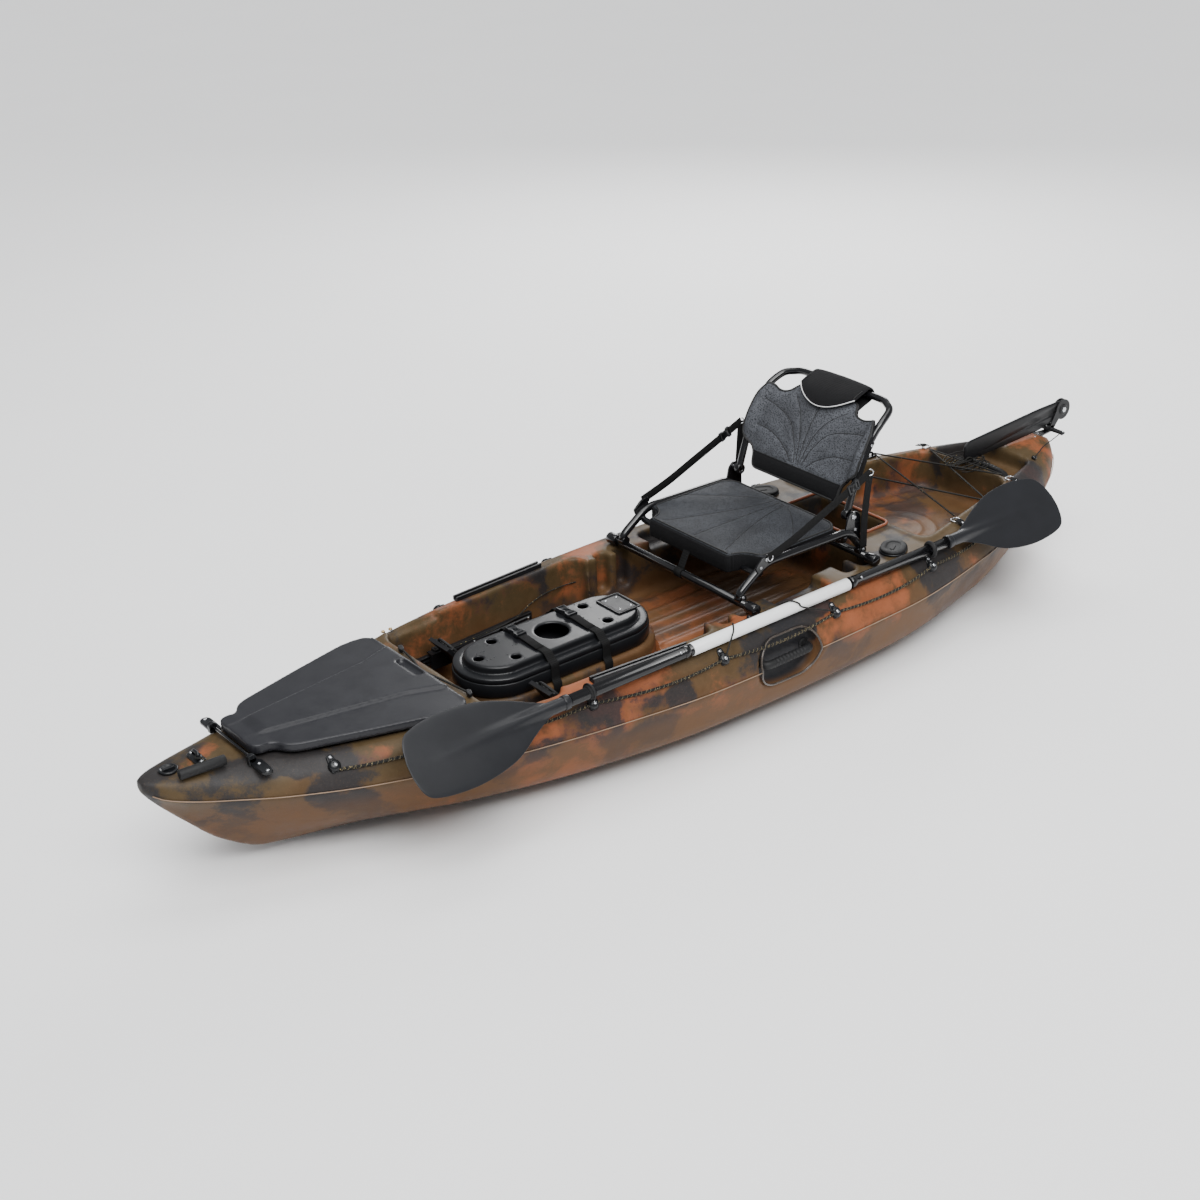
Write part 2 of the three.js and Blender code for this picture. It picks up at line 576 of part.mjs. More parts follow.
function seatFrame() {
  const { half, tube, frontBar, rearBar, barHeight } = SEAT;
  const low = barHeight + tube + GAP + tube;
  const rail = 397;
  const sides = [1, -1].map((side) =>
    bar(bends([[frontBar + 2, side * half, low], [-128, side * half, rail + 6], [-432, side * half, rail],
      [rearBar + 4, side * half, low]], 34, 3), tube, 8));
  const crossbars = [-112, -418].map((x) => bar([[x, -half, 372], [x, half, 372]], 9, 8));
  const drops = [-112, -418].flatMap((x) => [1, -1].map((side) =>
    bar([[x, side * half, 372], [x, side * half, rail]], 9, 8)));
  const brackets = [1, -1].map((side) => {
    const plate = [[-425, 392], [-478, 350], [-472, 434], [-462, 446], [-444, 448], [-432, 436]];
    return prism(plate, "y", side * (half - 2) - 2.5, side * (half - 2) + 2.5);
  });
  const studs = [1, -1].map((side) => bar([[-450, side * 226.5, 434], [-450, side * half, 434]], 6, 10));
  const feet = [frontBar, rearBar].flatMap((x) => [1, -1].map((side) =>
    block(x - 12, x + 12, side * half - 9, side * half + 9, barHeight + tube + GAP, barHeight + tube + 14)));
  return join(...sides, ...crossbars, ...drops, ...brackets, ...studs, ...feet);
}
part("seat_base_frame", seatFrame(), TUBE_BLACK);

const seatOutline = mirrored(rounded([[-78, 0], [-78, 168], [-118, 222], [-402, 222], [-428, 180], [-428, 0]], 22, 2)
  .filter(([, y]) => y > 1));
part("seat_cushion", prism(seatOutline, "z", 384, SEAT.top), MESH_CLOTH);

// The back's profile in the x-z plane, from the pivot to the top.
const BACK_PROFILE = smooth([[-450, 0, 434], [-478, 0, 520], [-518, 0, 606], [-574, 0, 668], [-640, 0, 696]], 10)
  .map(([x, , z]) => [x, z]);

function backFrame() {
  const { half, tube } = BACK;
  const sideRun = BACK_PROFILE.slice(0, 9).map(([x, z]) => [x, half, z]);
  const crown = [[-606, half - 10, 684], [-624, half - 34, 691], [-634, half - 66, 695]];
  const run = [...sideRun, ...crown];
  const whole = [...run, ...run.slice().reverse().map(([x, y, z]) => [x, -y, z])];
  const eyes = [1, -1].map((side) => prism(circle(-450, 434, 15, 14), "y", side * half - 9, side * half + 9));
  const bores = [1, -1].map((side) => prism(circle(-450, 434, 6.5, 10), "y", side * half - 30, side * half + 30));
  return cut(join(bar(whole, tube, 8), ...eyes), ...bores);
}
part("seat_back_frame", backFrame(), TUBE_BLACK);

// A curved panel that follows the back's profile, its outline given as (y, height).
function backPanel(outline, front, behind, from, to) {
  const edge = (distance) =>
    BACK_PROFILE.map(([x, z], i) => {
      const a = BACK_PROFILE[Math.max(0, i - 1)];
      const b = BACK_PROFILE[Math.min(BACK_PROFILE.length - 1, i + 1)];
      const length = Math.hypot(b[0] - a[0], b[1] - a[1]);
      return [x + ((b[1] - a[1]) / length) * distance, z - ((b[0] - a[0]) / length) * distance];
    }).slice(from, to);
  const band = prism([...edge(front), ...edge(-behind).reverse()], "y", -260, 260);
  return solidOf(band).intersect(solidOf(prism(outline, "x", -900, -300)));
}
const backOutline = [[-200, 448], [200, 448], [200, 628], [150, 664], [96, 672], [-96, 672], [-150, 664], [-200, 628]];
part("seat_back_cushion", backPanel(backOutline, 8, 14, 0, 9), MESH_CLOTH);

function headrest() {
  const outline = [[-104, 632], [104, 632], [104, 760], [-104, 760]];
  const front = backPanel(outline, 26, -10.6, 5, 11);
  const fold = prism(circle(-634, 695, 22, 12), "y", -104, 104);
  const tube = prism(circle(-634, 695, BACK.tube + 1.2, 12), "y", -200, 200);
  const clear = backPanel([[-200, 400], [200, 400], [200, 800], [-200, 800]], 10.3, 40, 0, 10);
  return cut(join(cut(front, clear), fold), tube);
}
part("seat_headrest", headrest(), WEBBING);

for (const [name, side] of [["port", 1], ["starboard", -1]]) {
  const [lower, upper] = [[-122, 416], [-492, 556]];
  part(`seat_strap_${name}`, ribbon([lower, [-310, 484], upper], 25, "y", side * 251 - 1.5, side * 251 + 1.5), WEBBING);
}

// ---------------------------------------------------------------- rod holders
for (const [name, side] of [["port", 1], ["starboard", -1]]) {
  const level = deckHeight(ROD_HOLDER.x, ROD_HOLDER.y) + 1.5;
  const turn = THREE.MathUtils.degToRad(side * 30);
  const outline = stadium(0, 0, 93, 74, 6).map(([u, v]) => [
    ROD_HOLDER.x + u * Math.cos(turn) - v * Math.sin(turn),
    side * ROD_HOLDER.y + u * Math.sin(turn) + v * Math.cos(turn),
  ]);
  const flange = prism(outline, "z", level, level + 4);
  const trim = block(-900, -300, side > 0 ? 0 : -500, side > 0 ? 500 : 0, -100, level + 4);
  const tube = solidOf(rodHolderBar(side, ROD_HOLDER.tube, 30, ROD_HOLDER.depth)).intersect(solidOf(trim));
  const bore = rodHolderBar(side, ROD_HOLDER.bore, 60, ROD_HOLDER.depth - 3);
  part(`rod_holder_${name}`, cut(join(flange, tube), bore), BLACK);
  part(`rod_holder_cap_${name}`, prism(offset(outline, -2), "z", level + 4 + GAP, level + 12), RUBBER);
}

// ---------------------------------------------------------------- handles
for (const [name, side] of [["port", 1], ["starboard", -1]]) {
  const grip = bar(bends([[-158, side * 353, 206], [-158, side * 382, 206], [-2, side * 382, 206],
    [-2, side * 353, 206]], 18, 3), 11, 8);
  part(`side_handle_${name}`, grip, RUBBER);
}

const shelf = STERN_SHELF.floor + 1;
const sternGrip = bar(smooth([[-1238, -100, shelf + 10], [-1262, -72, shelf + 13], [-1272, 0, shelf + 14],
  [-1262, 72, shelf + 13], [-1238, 100, shelf + 10]], 12), 9, 8);
const sternFeet = [1, -1].map((side) =>
  prism(circle(-1238, shelf + 12, 11, 12), "y", side * 103 - 9, side * 103 + 9));
part("stern_handle", join(sternGrip, ...sternFeet), RUBBER);

// ---------------------------------------------------------------- lines
for (const [name, side] of [["port", 1], ["starboard", -1]]) {
  const sag = (x) => 0.66 - 0.1 * Math.abs(Math.sin(((x - 128) / 384) * Math.PI));
  const route = Array.from({ length: 31 }, (_, i) => {
    const x = THREE.MathUtils.lerp(1140, -1060, i / 30);
    return shoulderPoint(x, sag(x), 5, side);
  });
  part(`perimeter_line_${name}`, bar(route, 2.5, 8), ROPE);
}

const zigzag = [[-850, -240, 0], [-1010, 222, 0], [-1174, -158, 0], [-1174, 158, 7], [-1010, -222, 9], [-850, 240, 9]]
  .map(([x, y, lift]) => [x, y, deckHeight(x, y) + 7 + lift]);
part("tank_well_bungee", bar(bends(zigzag, 12, 2), 2.5, 8), RUBBER);

// ---------------------------------------------------------------- rudder
const [pivotX, pivotZ] = RUDDER.pivot;
const sternTop = deckHeight(-1462, 0) + 1;
const bracket = join(
  prism(rounded([[-1462, 22], [-1530, 12], [-1562, 9], [-1562, -9], [-1530, -12], [-1462, -22]], 5, 1), "z",
    sternTop, sternTop + 5),
  prism(circle(RUDDER.post, 0, 4, 12), "z", sternTop + 3, sternTop + 20),
);
part("rudder_bracket", bracket, TUBE_BLACK);

function yoke() {
  const low = sternTop + 5 + GAP;
  const barrel = prism(circle(RUDDER.post, 0, 10, 12), "z", low, low + 15);
  const arm = prism(rounded([[-1535, 66], [-1552, 66], [-1556, 0], [-1552, -66], [-1535, -66], [-1534, 0]], 6, 1),
    "z", low + 4, low + 10);
  const web = block(-1566, -1548, -9, 9, low, low + 15);
  const cheekOutline = [
    ...circle(pivotX, pivotZ, RUDDER.cheek, 20).filter(([x, z]) => x < pivotX + 20 || z > pivotZ),
    [-1550, low + 15], [-1550, low], [-1566, low],
  ].map(([x, z]) => ({ x, z, angle: Math.atan2(z - 350, x + 1590) }))
    .sort((a, b) => a.angle - b.angle)
    .map(({ x, z }) => [x, z]);
  const cheeks = [1, -1].map((side) => prism(cheekOutline, "y", side > 0 ? 5.4 : -9, side > 0 ? 9 : -5.4));
  const bolt = prism(circle(pivotX, pivotZ, 5.5, 12), "y", -40, 40);
  const post = prism(circle(RUDDER.post, 0, 4.4, 12), "z", 200, 500);
  return cut(join(barrel, arm, web, ...cheeks), bolt, post);
}
part("rudder_yoke", yoke(), BLACK);

function blade() {
  const { blade: length, depth, thickness } = RUDDER;
  const slope = THREE.MathUtils.degToRad(-3.5);
  const outline = [[-26, -14], [-14, -26], [40, -30], [110, -depth / 2], [length - 20, -depth / 2 + 6],
    [length, -depth / 2 + 22], [length, depth / 2 - 16], [length - 18, depth / 2 - 4], [110, depth / 2 - 4],
    [20, 30], [-14, 26], [-26, 14]]
    .map(([u, v]) => [
      pivotX + u * Math.cos(slope) - v * Math.sin(slope),
      pivotZ + u * Math.sin(slope) + v * Math.cos(slope),
    ]);
  const plate = prism(outline, "y", -thickness / 2, thickness / 2);
  return cut(plate, prism(circle(pivotX, pivotZ, 5.5, 12), "y", -40, 40));
}
part("rudder_blade", blade(), BLACK);

const boltHeads = [1, -1].map((side) =>
  prism(circle(pivotX, pivotZ, 9, 6), "y", side > 0 ? 9.4 : -14, side > 0 ? 14 : -9.4));
part("rudder_pivot_bolt", join(prism(circle(pivotX, pivotZ, 5, 12), "y", -12, 12), ...boltHeads), STEEL);

const skid = [[-1186, 17], [-1200, 4], [-1404, 6], [-1424, 24], [-1424, 40], [-1408, 24.5], [-1300, 19]];
part("keel_skid_plate", prism(skid.map(([x, z]) => [x, z - 2]), "y", -11, 11), CHARCOAL);

// ---------------------------------------------------------------- paddle
const paddleEnd = PADDLE.length / 2 - 450;
const shaftX = (share) => PADDLE.x + share * paddleEnd;
const pipe = (from, to, outer, inner) =>
  prism(circle(PADDLE.y, PADDLE.z, outer, 14), "x", from, to, [circle(PADDLE.y, PADDLE.z, inner, 14)]);
part("paddle_shaft", pipe(shaftX(-1), shaftX(1), PADDLE.shaft, PADDLE.shaft - 1.8), TUBE_BLACK);
part("paddle_grip_sleeve", pipe(PADDLE.x - PADDLE.white / 2, PADDLE.x + PADDLE.white / 2, PADDLE.shaft + 1.6,
  PADDLE.shaft + GAP), WHITE);

for (const [name, side] of [["front", 1], ["rear", -1]]) {
  const outline = [[60, 17], [120, 44], [190, 80], [280, 97], [360, 96], [420, 84], [446, 56], [449, 0], [440, -50],
    [410, -78], [330, -92], [230, -84], [150, -58], [90, -30], [60, -17]];
  const plate = prism(outline, "z", -2.5, 2.5);
  const spineTaper = solidOf(loft([0, 70, 200, 400].map((x, i) =>
    circle(0, 0, [16.5, 16.5, 10, 3][i], 10).map(([y, z]) => [x + (i ? 0 : GAP), y, z]))));
  const whole = geometryOf(join(plate, spineTaper));
  if (side < 0) whole.applyMatrix4(new THREE.Matrix4().makeScale(-1, 1, 1));
  whole.rotateX(-THREE.MathUtils.degToRad(PADDLE.tilt)).translate(shaftX(side), PADDLE.y, PADDLE.z);
  part(`paddle_blade_${name}`, whole, BLADE_GREY);

  const ringX = shaftX(side) - side * 62;
  part(`drip_ring_${name}`, pipe(ringX - 4, ringX + 4, 24, PADDLE.shaft + GAP), RUBBER);
}

// A point on a cord that passes round the shaft, at an angle from the outboard side.
const roundShaft = (x, degrees, reach = 20.5) => {
  const angle = THREE.MathUtils.degToRad(degrees);
  return [x, PADDLE.y + reach * Math.cos(angle), PADDLE.z + reach * Math.sin(angle)];
};
const overShaft = (x, step) => [0, 45, 90, 135, 170].map((degrees, i) => roundShaft(x + i * step, degrees));
part("paddle_bungee", bar([[128, 370, 278], ...overShaft(100, -12), [-16, 303, 309],
  ...overShaft(-150, 14).reverse(), [-248, 374, 278]], 2, 8), RUBBER);

export default kayak;
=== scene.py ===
"""The looks of a sit-on-top fishing kayak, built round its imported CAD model. Metres, +X bow, +Y port, +Z up.

Shapes are worked out in millimetres, the unit of the model's own dimensions, and turned into metres as
meshes are made.
"""

import math

import bmesh
import bpy
import numpy as np
from mathutils import Matrix, Vector
from mathutils.bvhtree import BVHTree
from mathutils.kdtree import KDTree


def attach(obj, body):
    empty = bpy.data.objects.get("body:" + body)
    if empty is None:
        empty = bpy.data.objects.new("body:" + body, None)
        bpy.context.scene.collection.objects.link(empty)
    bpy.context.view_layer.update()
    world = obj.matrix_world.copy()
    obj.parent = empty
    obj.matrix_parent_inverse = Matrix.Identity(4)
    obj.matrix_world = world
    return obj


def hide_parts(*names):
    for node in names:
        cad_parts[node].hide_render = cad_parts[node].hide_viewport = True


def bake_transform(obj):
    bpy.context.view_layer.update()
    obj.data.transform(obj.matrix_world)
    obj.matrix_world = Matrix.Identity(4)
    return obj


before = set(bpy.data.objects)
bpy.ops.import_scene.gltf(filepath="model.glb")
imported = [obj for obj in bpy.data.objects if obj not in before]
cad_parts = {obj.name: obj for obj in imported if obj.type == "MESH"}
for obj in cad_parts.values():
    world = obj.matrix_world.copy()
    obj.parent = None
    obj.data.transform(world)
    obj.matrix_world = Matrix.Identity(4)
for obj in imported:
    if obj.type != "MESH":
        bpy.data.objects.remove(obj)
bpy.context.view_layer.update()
MM = 0.001
HULL = "kayak_hull"
SIDES = (("port", 1), ("starboard", -1))

# ------------------------------------------------------------------ mesh helpers


def new_object(name, verts, faces, smooth=True):
    mesh = bpy.data.meshes.new(name)
    mesh.from_pydata([(x * MM, y * MM, z * MM) for x, y, z in verts], [], [tuple(f) for f in faces])
    mesh.validate()
    mesh.update()
    ob = bpy.data.objects.new(name, mesh)
    bpy.context.scene.collection.objects.link(ob)
    if smooth:
        mesh.shade_smooth()
    return ob


def face_outwards(ob):
    bm = bmesh.new()
    bm.from_mesh(ob.data)
    bmesh.ops.remove_doubles(bm, verts=bm.verts, dist=2e-6)
    bmesh.ops.recalc_face_normals(bm, faces=bm.faces)
    bm.to_mesh(ob.data)
    bm.free()
    return ob


def applied(ob):
    """The object with its modifiers made real."""
    evaluated = ob.evaluated_get(bpy.context.evaluated_depsgraph_get())
    mesh = bpy.data.meshes.new_from_object(evaluated)
    old = ob.data
    ob.modifiers.clear()
    ob.data = mesh
    bpy.data.meshes.remove(old)
    return ob


def drop(ob):
    mesh = ob.data
    bpy.data.objects.remove(ob)
    bpy.data.meshes.remove(mesh)


def merged(name, parts):
    """One object from several, each keeping its material."""
    bm = bmesh.new()
    materials = []
    for part in parts:
        base = len(bm.faces)
        places = []
        for slot in part.material_slots:
            if slot.material not in materials:
                materials.append(slot.material)
            places.append(materials.index(slot.material))
        part.data.transform(part.matrix_world)
        bm.from_mesh(part.data)
        bm.faces.ensure_lookup_table()
        for face in bm.faces[base:]:
            face.material_index = places[face.material_index] if places else 0
        drop(part)
    mesh = bpy.data.meshes.new(name)
    bm.to_mesh(mesh)
    bm.free()
    for material in materials:
        mesh.materials.append(material)
    ob = bpy.data.objects.new(name, mesh)
    bpy.context.scene.collection.objects.link(ob)
    return ob


def boolean(ob, tool, operation="DIFFERENCE"):
    modifier = ob.modifiers.new("cut", "BOOLEAN")
    modifier.operation = operation
    modifier.solver = "MANIFOLD"
    modifier.object = tool
    bpy.context.view_layer.update()
    applied(ob)
    drop(tool)
    return ob


def bevelled(ob, width, segments=2, angle=30):
    """Rounded edges, with the width in millimetres."""
    modifier = ob.modifiers.new("edges", "BEVEL")
    modifier.width = width * MM
    modifier.segments = segments
    modifier.limit_method = "ANGLE"
    modifier.angle_limit = math.radians(angle)
    modifier.harden_normals = True
    ob.data.shade_smooth()
    return ob


def remeshed(ob, voxel, rounds, factor=0.5):
    """An even skin whose edges are softened as those of a moulding."""
    modifier = ob.modifiers.new("skin", "REMESH")
    modifier.mode = "VOXEL"
    modifier.voxel_size = voxel * MM
    modifier.use_smooth_shade = True
    applied(ob)
    if rounds:
        smoothing = ob.modifiers.new("soft", "SMOOTH")
        smoothing.factor = factor
        smoothing.iterations = rounds
        applied(ob)
    ob.data.shade_smooth()
    return ob


def place(ob, body, material=None, replaces=()):
    """Gives a finished piece its finish, its body and the CAD nodes that it stands for."""
    if material:
        ob.data.materials.clear()
        ob.data.materials.append(material)
    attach(ob, body)
    if replaces:
        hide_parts(*replaces)
    return ob


def stand_in(node, parts, body, material):
    """One finished piece made of several, in the place of the CAD node that it is named after."""
    return place(merged(f"{node}_visual", parts), body, material, (node,))


def painted(ob, material):
    ob.data.materials.clear()
    ob.data.materials.append(material)
    return ob


# ------------------------------------------------------------------ outlines and routes


def offset(points, distance):
    """An outline moved outwards, with mitred corners."""
    area = sum(x * points[(i + 1) % len(points)][1] - points[(i + 1) % len(points)][0] * y
               for i, (x, y) in enumerate(points))
    side = math.copysign(distance, area) if distance > 0 else -math.copysign(distance, area)
    out = []
    for i, p in enumerate(points):
        a, b = points[i - 1], points[(i + 1) % len(points)]
        la, lb = math.dist(a, p), math.dist(p, b)
        m = ((p[1] - a[1]) / la, (a[0] - p[0]) / la)
        n = ((b[1] - p[1]) / lb, (p[0] - b[0]) / lb)
        scale = side / max(0.3, 1 + m[0] * n[0] + m[1] * n[1])
        out.append((p[0] + (m[0] + n[0]) * scale, p[1] + (m[1] + n[1]) * scale))
    return out


def rounded(points, radius, steps=6):
    """Each corner replaced by a curve that starts a given distance before it."""
    out = []
    for i, p in enumerate(points):
        ends = []
        for q in (points[i - 1], points[(i + 1) % len(points)]):
            length = math.dist(q, p)
            reach = min(radius, length * 0.45) / length
            ends.append((p[0] + (q[0] - p[0]) * reach, p[1] + (q[1] - p[1]) * reach))
        for k in range(steps + 1):
            t = k / steps
            s, u, w = (1 - t) ** 2, 2 * t * (1 - t), t * t
            out.append(tuple(ends[0][c] * s + p[c] * u + ends[1][c] * w for c in (0, 1)))
    return out


def circle(x, y, radius, sides=32):
    return [(x + radius * math.cos(2 * math.pi * k / sides), y + radius * math.sin(2 * math.pi * k / sides))
            for k in range(sides)]


def stadium(x, y, length, width, sides=16):
    r = width / 2
    reach = length / 2 - r
    return [(x + sign * (reach + r * math.cos(a)), y + sign * r * math.sin(a))
            for sign in (1, -1) for a in np.linspace(-math.pi / 2, math.pi / 2, sides + 1)]


def mirrored(points):
    return list(points) + [(x, -y) for x, y in reversed(points)]


def turned_about(points, x, y, degrees):
    c, s = math.cos(math.radians(degrees)), math.sin(math.radians(degrees))
    return [(x + u * c - v * s, y + u * s + v * c) for u, v in points]


def spaced(points, count):
    line = np.array([tuple(p) for p in points], float)
    run = np.concatenate([[0], np.cumsum(np.linalg.norm(np.diff(line, axis=0), axis=1))])
    at = np.linspace(0, run[-1], count)
    return [Vector([float(np.interp(s, run, line[:, k])) for k in range(3)]) for s in at]


def spline(points, count):
    """Evenly spaced points on a smooth curve through the given ones."""
    p = [Vector(q) for q in points]
    fine = []
    for i in range(len(p) - 1):
        a, b, c, d = p[max(i - 1, 0)], p[i], p[i + 1], p[min(i + 2, len(p) - 1)]
        for k in range(14):
            t = k / 14
            fine.append(0.5 * (2 * b + (c - a) * t + (2 * a - 5 * b + 4 * c - d) * t * t
                               + (3 * b - a - 3 * c + d) * t ** 3))
    return spaced(fine + [p[-1]], count)


def bent(points, radius, steps=7):
    """A route of straight runs with rounded corners, as a bent tube has."""
    p = [Vector(q) for q in points]
    out = [p[0]]
    for i in range(1, len(p) - 1):
        ends = [p[i] + (q - p[i]).normalized() * min(radius, (q - p[i]).length * 0.48)
                for q in (p[i - 1], p[i + 1])]
        for k in range(steps + 1):
            t = k / steps
            out.append(ends[0] * (1 - t) ** 2 + p[i] * 2 * t * (1 - t) + ends[1] * t * t)
    return out + [p[-1]]


def arced(points, radius, steps=8):
    """A route of straight runs whose corners are arcs of one radius."""
    p = [Vector(q) for q in points]
    out = [p[0]]
    for before, corner, after in zip(p, p[1:], p[2:]):
        u, v = (before - corner).normalized(), (after - corner).normalized()
        half = u.angle(v) / 2
        centre = corner + (u + v).normalized() * radius / math.sin(half)
        start, end = (corner + way * radius / math.tan(half) - centre for way in (u, v))
        out += [centre + start.slerp(end, k / steps) for k in range(steps + 1)]
    return out + [p[-1]]


# ------------------------------------------------------------------ basic shapes


def loft(name, rings, close_ends=True):
    """A skin through rings of equal length."""
    count = len(rings[0])
    verts = [point for ring in rings for point in ring]
    faces = []
    for r in range(len(rings) - 1):
        for k in range(count):
            a, b = r * count + k, r * count + (k + 1) % count
            faces.append((a, b, b + count, a + count))
    if close_ends:
        faces.append(tuple(range(count))[::-1])
        faces.append(tuple((len(rings) - 1) * count + k for k in range(count)))
    return face_outwards(new_object(name, verts, faces))


def sweep(name, points, section, up=None, twist=0.0, scale=None):
    """A section of (side, up) pairs carried along a route. up keeps a strap's face turned one way, and twist
    turns the section by that many degrees for each millimetre."""
    route = [Vector(p) for p in points]
    rings = []
    side = None
    run = 0.0
    for i, point in enumerate(route):
        way = (route[min(i + 1, len(route) - 1)] - route[max(i - 1, 0)]).normalized()
        if i:
            run += (point - route[i - 1]).length
        if up is not None:
            side = way.cross(Vector(up)).normalized()
        elif side is None:
            side = way.cross(Vector((0, 0, 1)) if abs(way.z) < 0.9 else Vector((1, 0, 0))).normalized()
        else:
            side = (side - way * side.dot(way)).normalized()
        top = side.cross(way).normalized()
        c, s = math.cos(math.radians(run * twist)), math.sin(math.radians(run * twist))
        grow = scale[i] if scale else 1.0
        rings.append([point + side * ((u * c - v * s) * grow) + top * ((u * s + v * c) * grow)
                      for u, v in section])
    return loft(name, rings)


def tube(name, points, radius, sides=16, scale=None):
    return sweep(name, points, circle(0, 0, radius, sides), scale=scale)


def strap_section(width, thickness):
    w, t = width / 2, thickness / 2
    across = [(-w, -t * 0.4), (-w + t, -t), (w - t, -t), (w, -t * 0.4), (w, t * 0.4), (w - t, t),
              (-w + t, t), (-w, t * 0.4)]
    return [(v, u) for u, v in across[::-1]]


def strap(name, points, width, thickness, up):
    return sweep(name, points, strap_section(width, thickness), up=up)


def lathe(name, profile, centre=(0, 0, 0), aim=(0, 0, 1), segments=32):
    """A turned piece from (radius, height) points that start and end on the axis, which points along aim."""
    rings = [[(r * math.cos(a), r * math.sin(a), h) for a in np.linspace(0, 2 * math.pi, segments,
                                                                         endpoint=False)]
             for r, h in profile]
    ob = loft(name, rings, close_ends=False)
    turn = Vector((0, 0, 1)).rotation_difference(Vector(aim).normalized()).to_matrix().to_4x4()
    ob.data.transform(Matrix.Translation(Vector(centre) * MM) @ turn)
    return ob


AXES = {"x": lambda u, v, w: (w, u, v), "y": lambda u, v, w: (u, w, v), "z": lambda u, v, w: (u, v, w)}


def prism(name, outline, low, high, axis="z"):
    """An outline drawn out along an axis. Along x the outline is (y, z), along y it is (x, z)."""
    at = AXES[axis]
    ob = loft(name, [[at(u, v, w) for u, v in outline] for w in (low, high)])
    return ob


def slab(name, outline, low, high, edge=1.5, axis="z", segments=2):
    """A prism with rounded edges."""
    return applied(bevelled(prism(name, outline, low, high, axis), edge, segments, 40))


def block(name, x0, x1, y0, y1, z0, z1, edge=1.0, segments=2):
    return slab(name, [(x0, y0), (x1, y0), (x1, y1), (x0, y1)], z0, z1, edge, segments=segments)


# ------------------------------------------------------------------ materials


